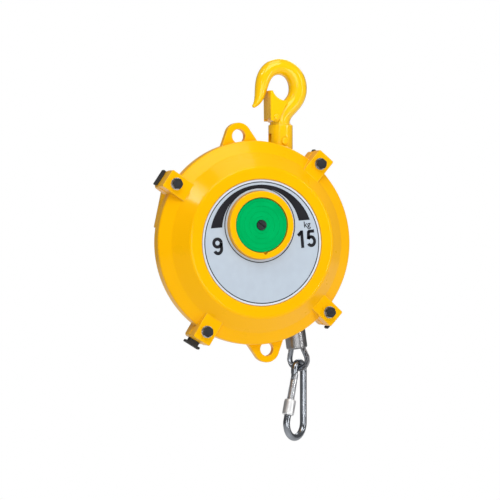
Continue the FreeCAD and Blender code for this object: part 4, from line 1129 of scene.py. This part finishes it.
@dataclass
class LatchFittings(Assembly):
    """Domed rivet through the latch and the two coils that hold it shut."""

    body: str = "hook"
    half_width: float = 11.0
    dome: tuple[Point, ...] = ((2.0, 0.0), (3.4, 0.0), (3.38, 0.3), (3.1, 0.66), (2.45, 0.98),
                               (1.5, 1.2), (0.5, 1.3))
    rivet_sides: int = 40
    wire: float = 0.5
    wire_sides: int = 8
    coil_radius: float = 2.56
    coil_rise: float = 0.001
    coil_steps: int = 40
    coil_place: float = 9.1

    def build(self) -> None:
        """Turn the rivet and wind the coils."""
        pivot = stand(self.places.point("latch_hinge"), Vector((1, 0, 0)), Vector((0, 0, 1)))
        half = [(radius, self.half_width + height) for radius, height in self.dome]
        rings = [(radius, -height) for radius, height in reversed(half)] + half
        rivet = Bench.turned("domed_rivet", rings, self.rivet_sides)
        self.settle(rivet, pivot, Finishes.HOOK, smooth=40, stands_for="latch_rivet")
        coil = Bench.wound("coil", self.wire, self.coil_radius, self.coil_rise, 1, self.coil_steps,
                           self.wire_sides)
        coils = [Bench.copy(coil, Matrix.Translation((0, 0, hand * self.coil_place)))
                 for hand in (-1, 1)]
        bpy.data.objects.remove(coil)
        pair = Bench.joined("latch_coils", coils)
        self.settle(pair, pivot, Finishes.SPRING, smooth=60, stands_for="latch_spring")


# ---------------------------------------------------------------- stage

@dataclass(frozen=True)
class Lamp:
    """Soft lamp aimed at the object."""

    name: str
    azimuth: float
    elevation: float
    distance: float
    size: Point
    watts: float


@dataclass
class Studio:
    """Camera, pale floor and soft lights, in metres and degrees, the lens in millimetres."""

    azimuth: float = -20.0
    shift_across: float = -0.0318
    height: float = -0.1825
    depth: float = -0.0318
    view_width: float = 0.515
    lens: float = 180.0
    sensor: float = 36.0
    floor_height: float = -1.9
    floor_radius: float = 12.0
    floor_glow: float = 0.5
    floor_tones: tuple[Colour, Colour] = ((0.8, 0.8, 0.8), (0.86, 0.86, 0.86))
    floor_scale: float = 3
    floor_roughness: float = 0.9
    dome: float = 0.2
    lamps: tuple[Lamp, ...] = (
        Lamp("key", 12, 48, 1.7, (1.2, 1.0), 15.0),
        Lamp("front_fill", 16, -8, 2.3, (1.3, 1.0), 11.5),
        Lamp("top", 10, 84, 1.5, (0.8, 0.8), 4.0),
        Lamp("front_strip", -10, 2, 1.7, (0.05, 1.1), 2.6),
        Lamp("right_strip", 64, 4, 1.3, (0.07, 1.2), 4.4),
        Lamp("left_glint", -46, 46, 1.4, (0.07, 0.4), 2.6),
        Lamp("back", 168, 35, 1.9, (1.2, 0.8), 8.0),
    )

    def build(self) -> None:
        """Make the camera, the floor, the surroundings and the lamps."""
        self.camera()
        self.floor()
        self.surroundings()
        for lamp in self.lamps:
            self.light(lamp)

    def direction(self, azimuth: float, elevation: float = 0.0) -> Vector:
        """Unit vector from the object towards a bearing.

        Args:
            azimuth: degrees round from the camera's own side, positive to its right.
            elevation: degrees above the horizon.

        Returns:
            The direction.
        """
        turn, rise = math.radians(self.azimuth + azimuth), math.radians(elevation)
        return Vector((math.sin(turn) * math.cos(rise), -math.cos(turn) * math.cos(rise), math.sin(rise)))

    def target(self) -> Vector:
        """Point that the camera looks at.

        Returns:
            The point.
        """
        towards = self.direction(0)
        across = Vector((-towards.y, towards.x, 0))
        return across * self.shift_across - towards * self.depth + Vector((0, 0, self.height))

    def camera(self) -> None:
        """Long-lens camera in front of the object, held level."""
        lens = bpy.data.cameras.new("camera")
        lens.lens = self.lens
        lens.sensor_width = self.sensor
        camera = bpy.data.objects.new("camera", lens)
        bpy.context.scene.collection.objects.link(camera)
        distance = self.view_width * self.lens / self.sensor
        towards = self.direction(0)
        camera.location = self.target() + towards * distance
        camera.rotation_euler = towards.to_track_quat("Z", "Y").to_euler()
        bpy.context.scene.camera = camera

    def floor(self) -> None:
        """Plain pale floor, below the lowest point that the pulled rope reaches."""
        bpy.ops.object.select_all(action="DESELECT")
        bpy.ops.mesh.primitive_circle_add(vertices=64, radius=self.floor_radius, fill_type="NGON",
                                          location=(0, 0, self.floor_height))
        floor = bpy.context.object
        floor.name = "floor"
        desk = Desk("pale_floor")
        tone = desk.mixed(desk.ranged(desk.noise(self.floor_scale, 3), 0, 1), *self.floor_tones)
        desk.surface(Base_Color=tone, Roughness=self.floor_roughness, Emission_Color=(1, 1, 1, 1),
                     Emission_Strength=self.floor_glow)
        floor.data.materials.append(desk.material)

    def surroundings(self) -> None:
        """White surroundings to look at, and a dimmer room that lights and mirrors."""
        world = bpy.data.worlds.new("studio")
        bpy.context.scene.world = world
        world.use_nodes = True
        tree = world.node_tree
        tree.nodes.clear()
        path = tree.nodes.new("ShaderNodeLightPath")
        blend = tree.nodes.new("ShaderNodeMixShader")
        output = tree.nodes.new("ShaderNodeOutputWorld")
        for slot, strength in ((1, self.dome), (2, 1.0)):
            glow = tree.nodes.new("ShaderNodeBackground")
            glow.inputs["Color"].default_value = (1, 1, 1, 1)
            glow.inputs["Strength"].default_value = strength
            tree.links.new(glow.outputs[0], blend.inputs[slot])
        tree.links.new(path.outputs["Is Camera Ray"], blend.inputs[0])
        tree.links.new(blend.outputs[0], output.inputs["Surface"])
        bpy.context.scene.view_settings.view_transform = "Standard"

    def light(self, lamp: Lamp) -> None:
        """Hang one lamp.

        Args:
            lamp: the lamp.
        """
        light = bpy.data.lights.new(lamp.name, "AREA")
        light.shape = "RECTANGLE"
        light.size, light.size_y = lamp.size
        light.energy = lamp.watts
        hung = bpy.data.objects.new(lamp.name, light)
        hung.visible_camera = False
        bpy.context.scene.collection.objects.link(hung)
        towards = self.direction(lamp.azimuth, lamp.elevation)
        hung.location = self.target() + towards * lamp.distance
        hung.rotation_euler = towards.to_track_quat("Z", "Y").to_euler()


def dress(frame: dict[str, Any]) -> None:
    """Give every carried-over construction node its finish.
    """
    for finish, names in NODE_FINISHES.items():
        material = finish.material()
        for name in names:
            node = frame["nodes"][name]
            node.data.materials.clear()
            node.data.materials.append(material)
            LOG.info("%s dressed in %s", name, finish.value.name)


def main() -> None:
    """Build the studio and the balancer in order."""
    logging.basicConfig(level=logging.INFO, format="%(name)s: %(message)s")
    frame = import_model()
    bpy.ops.object.select_all(action="DESELECT")
    Studio().build()
    dress(frame)
    places = Places({joint["name"]: joint for joint in frame["joints"]})
    for assembly in (Dial, EndDisc, WireRope, Gate, LockSleeve, LatchFittings):
        assembly(places).build()


if __name__ == "__main__":
    main()
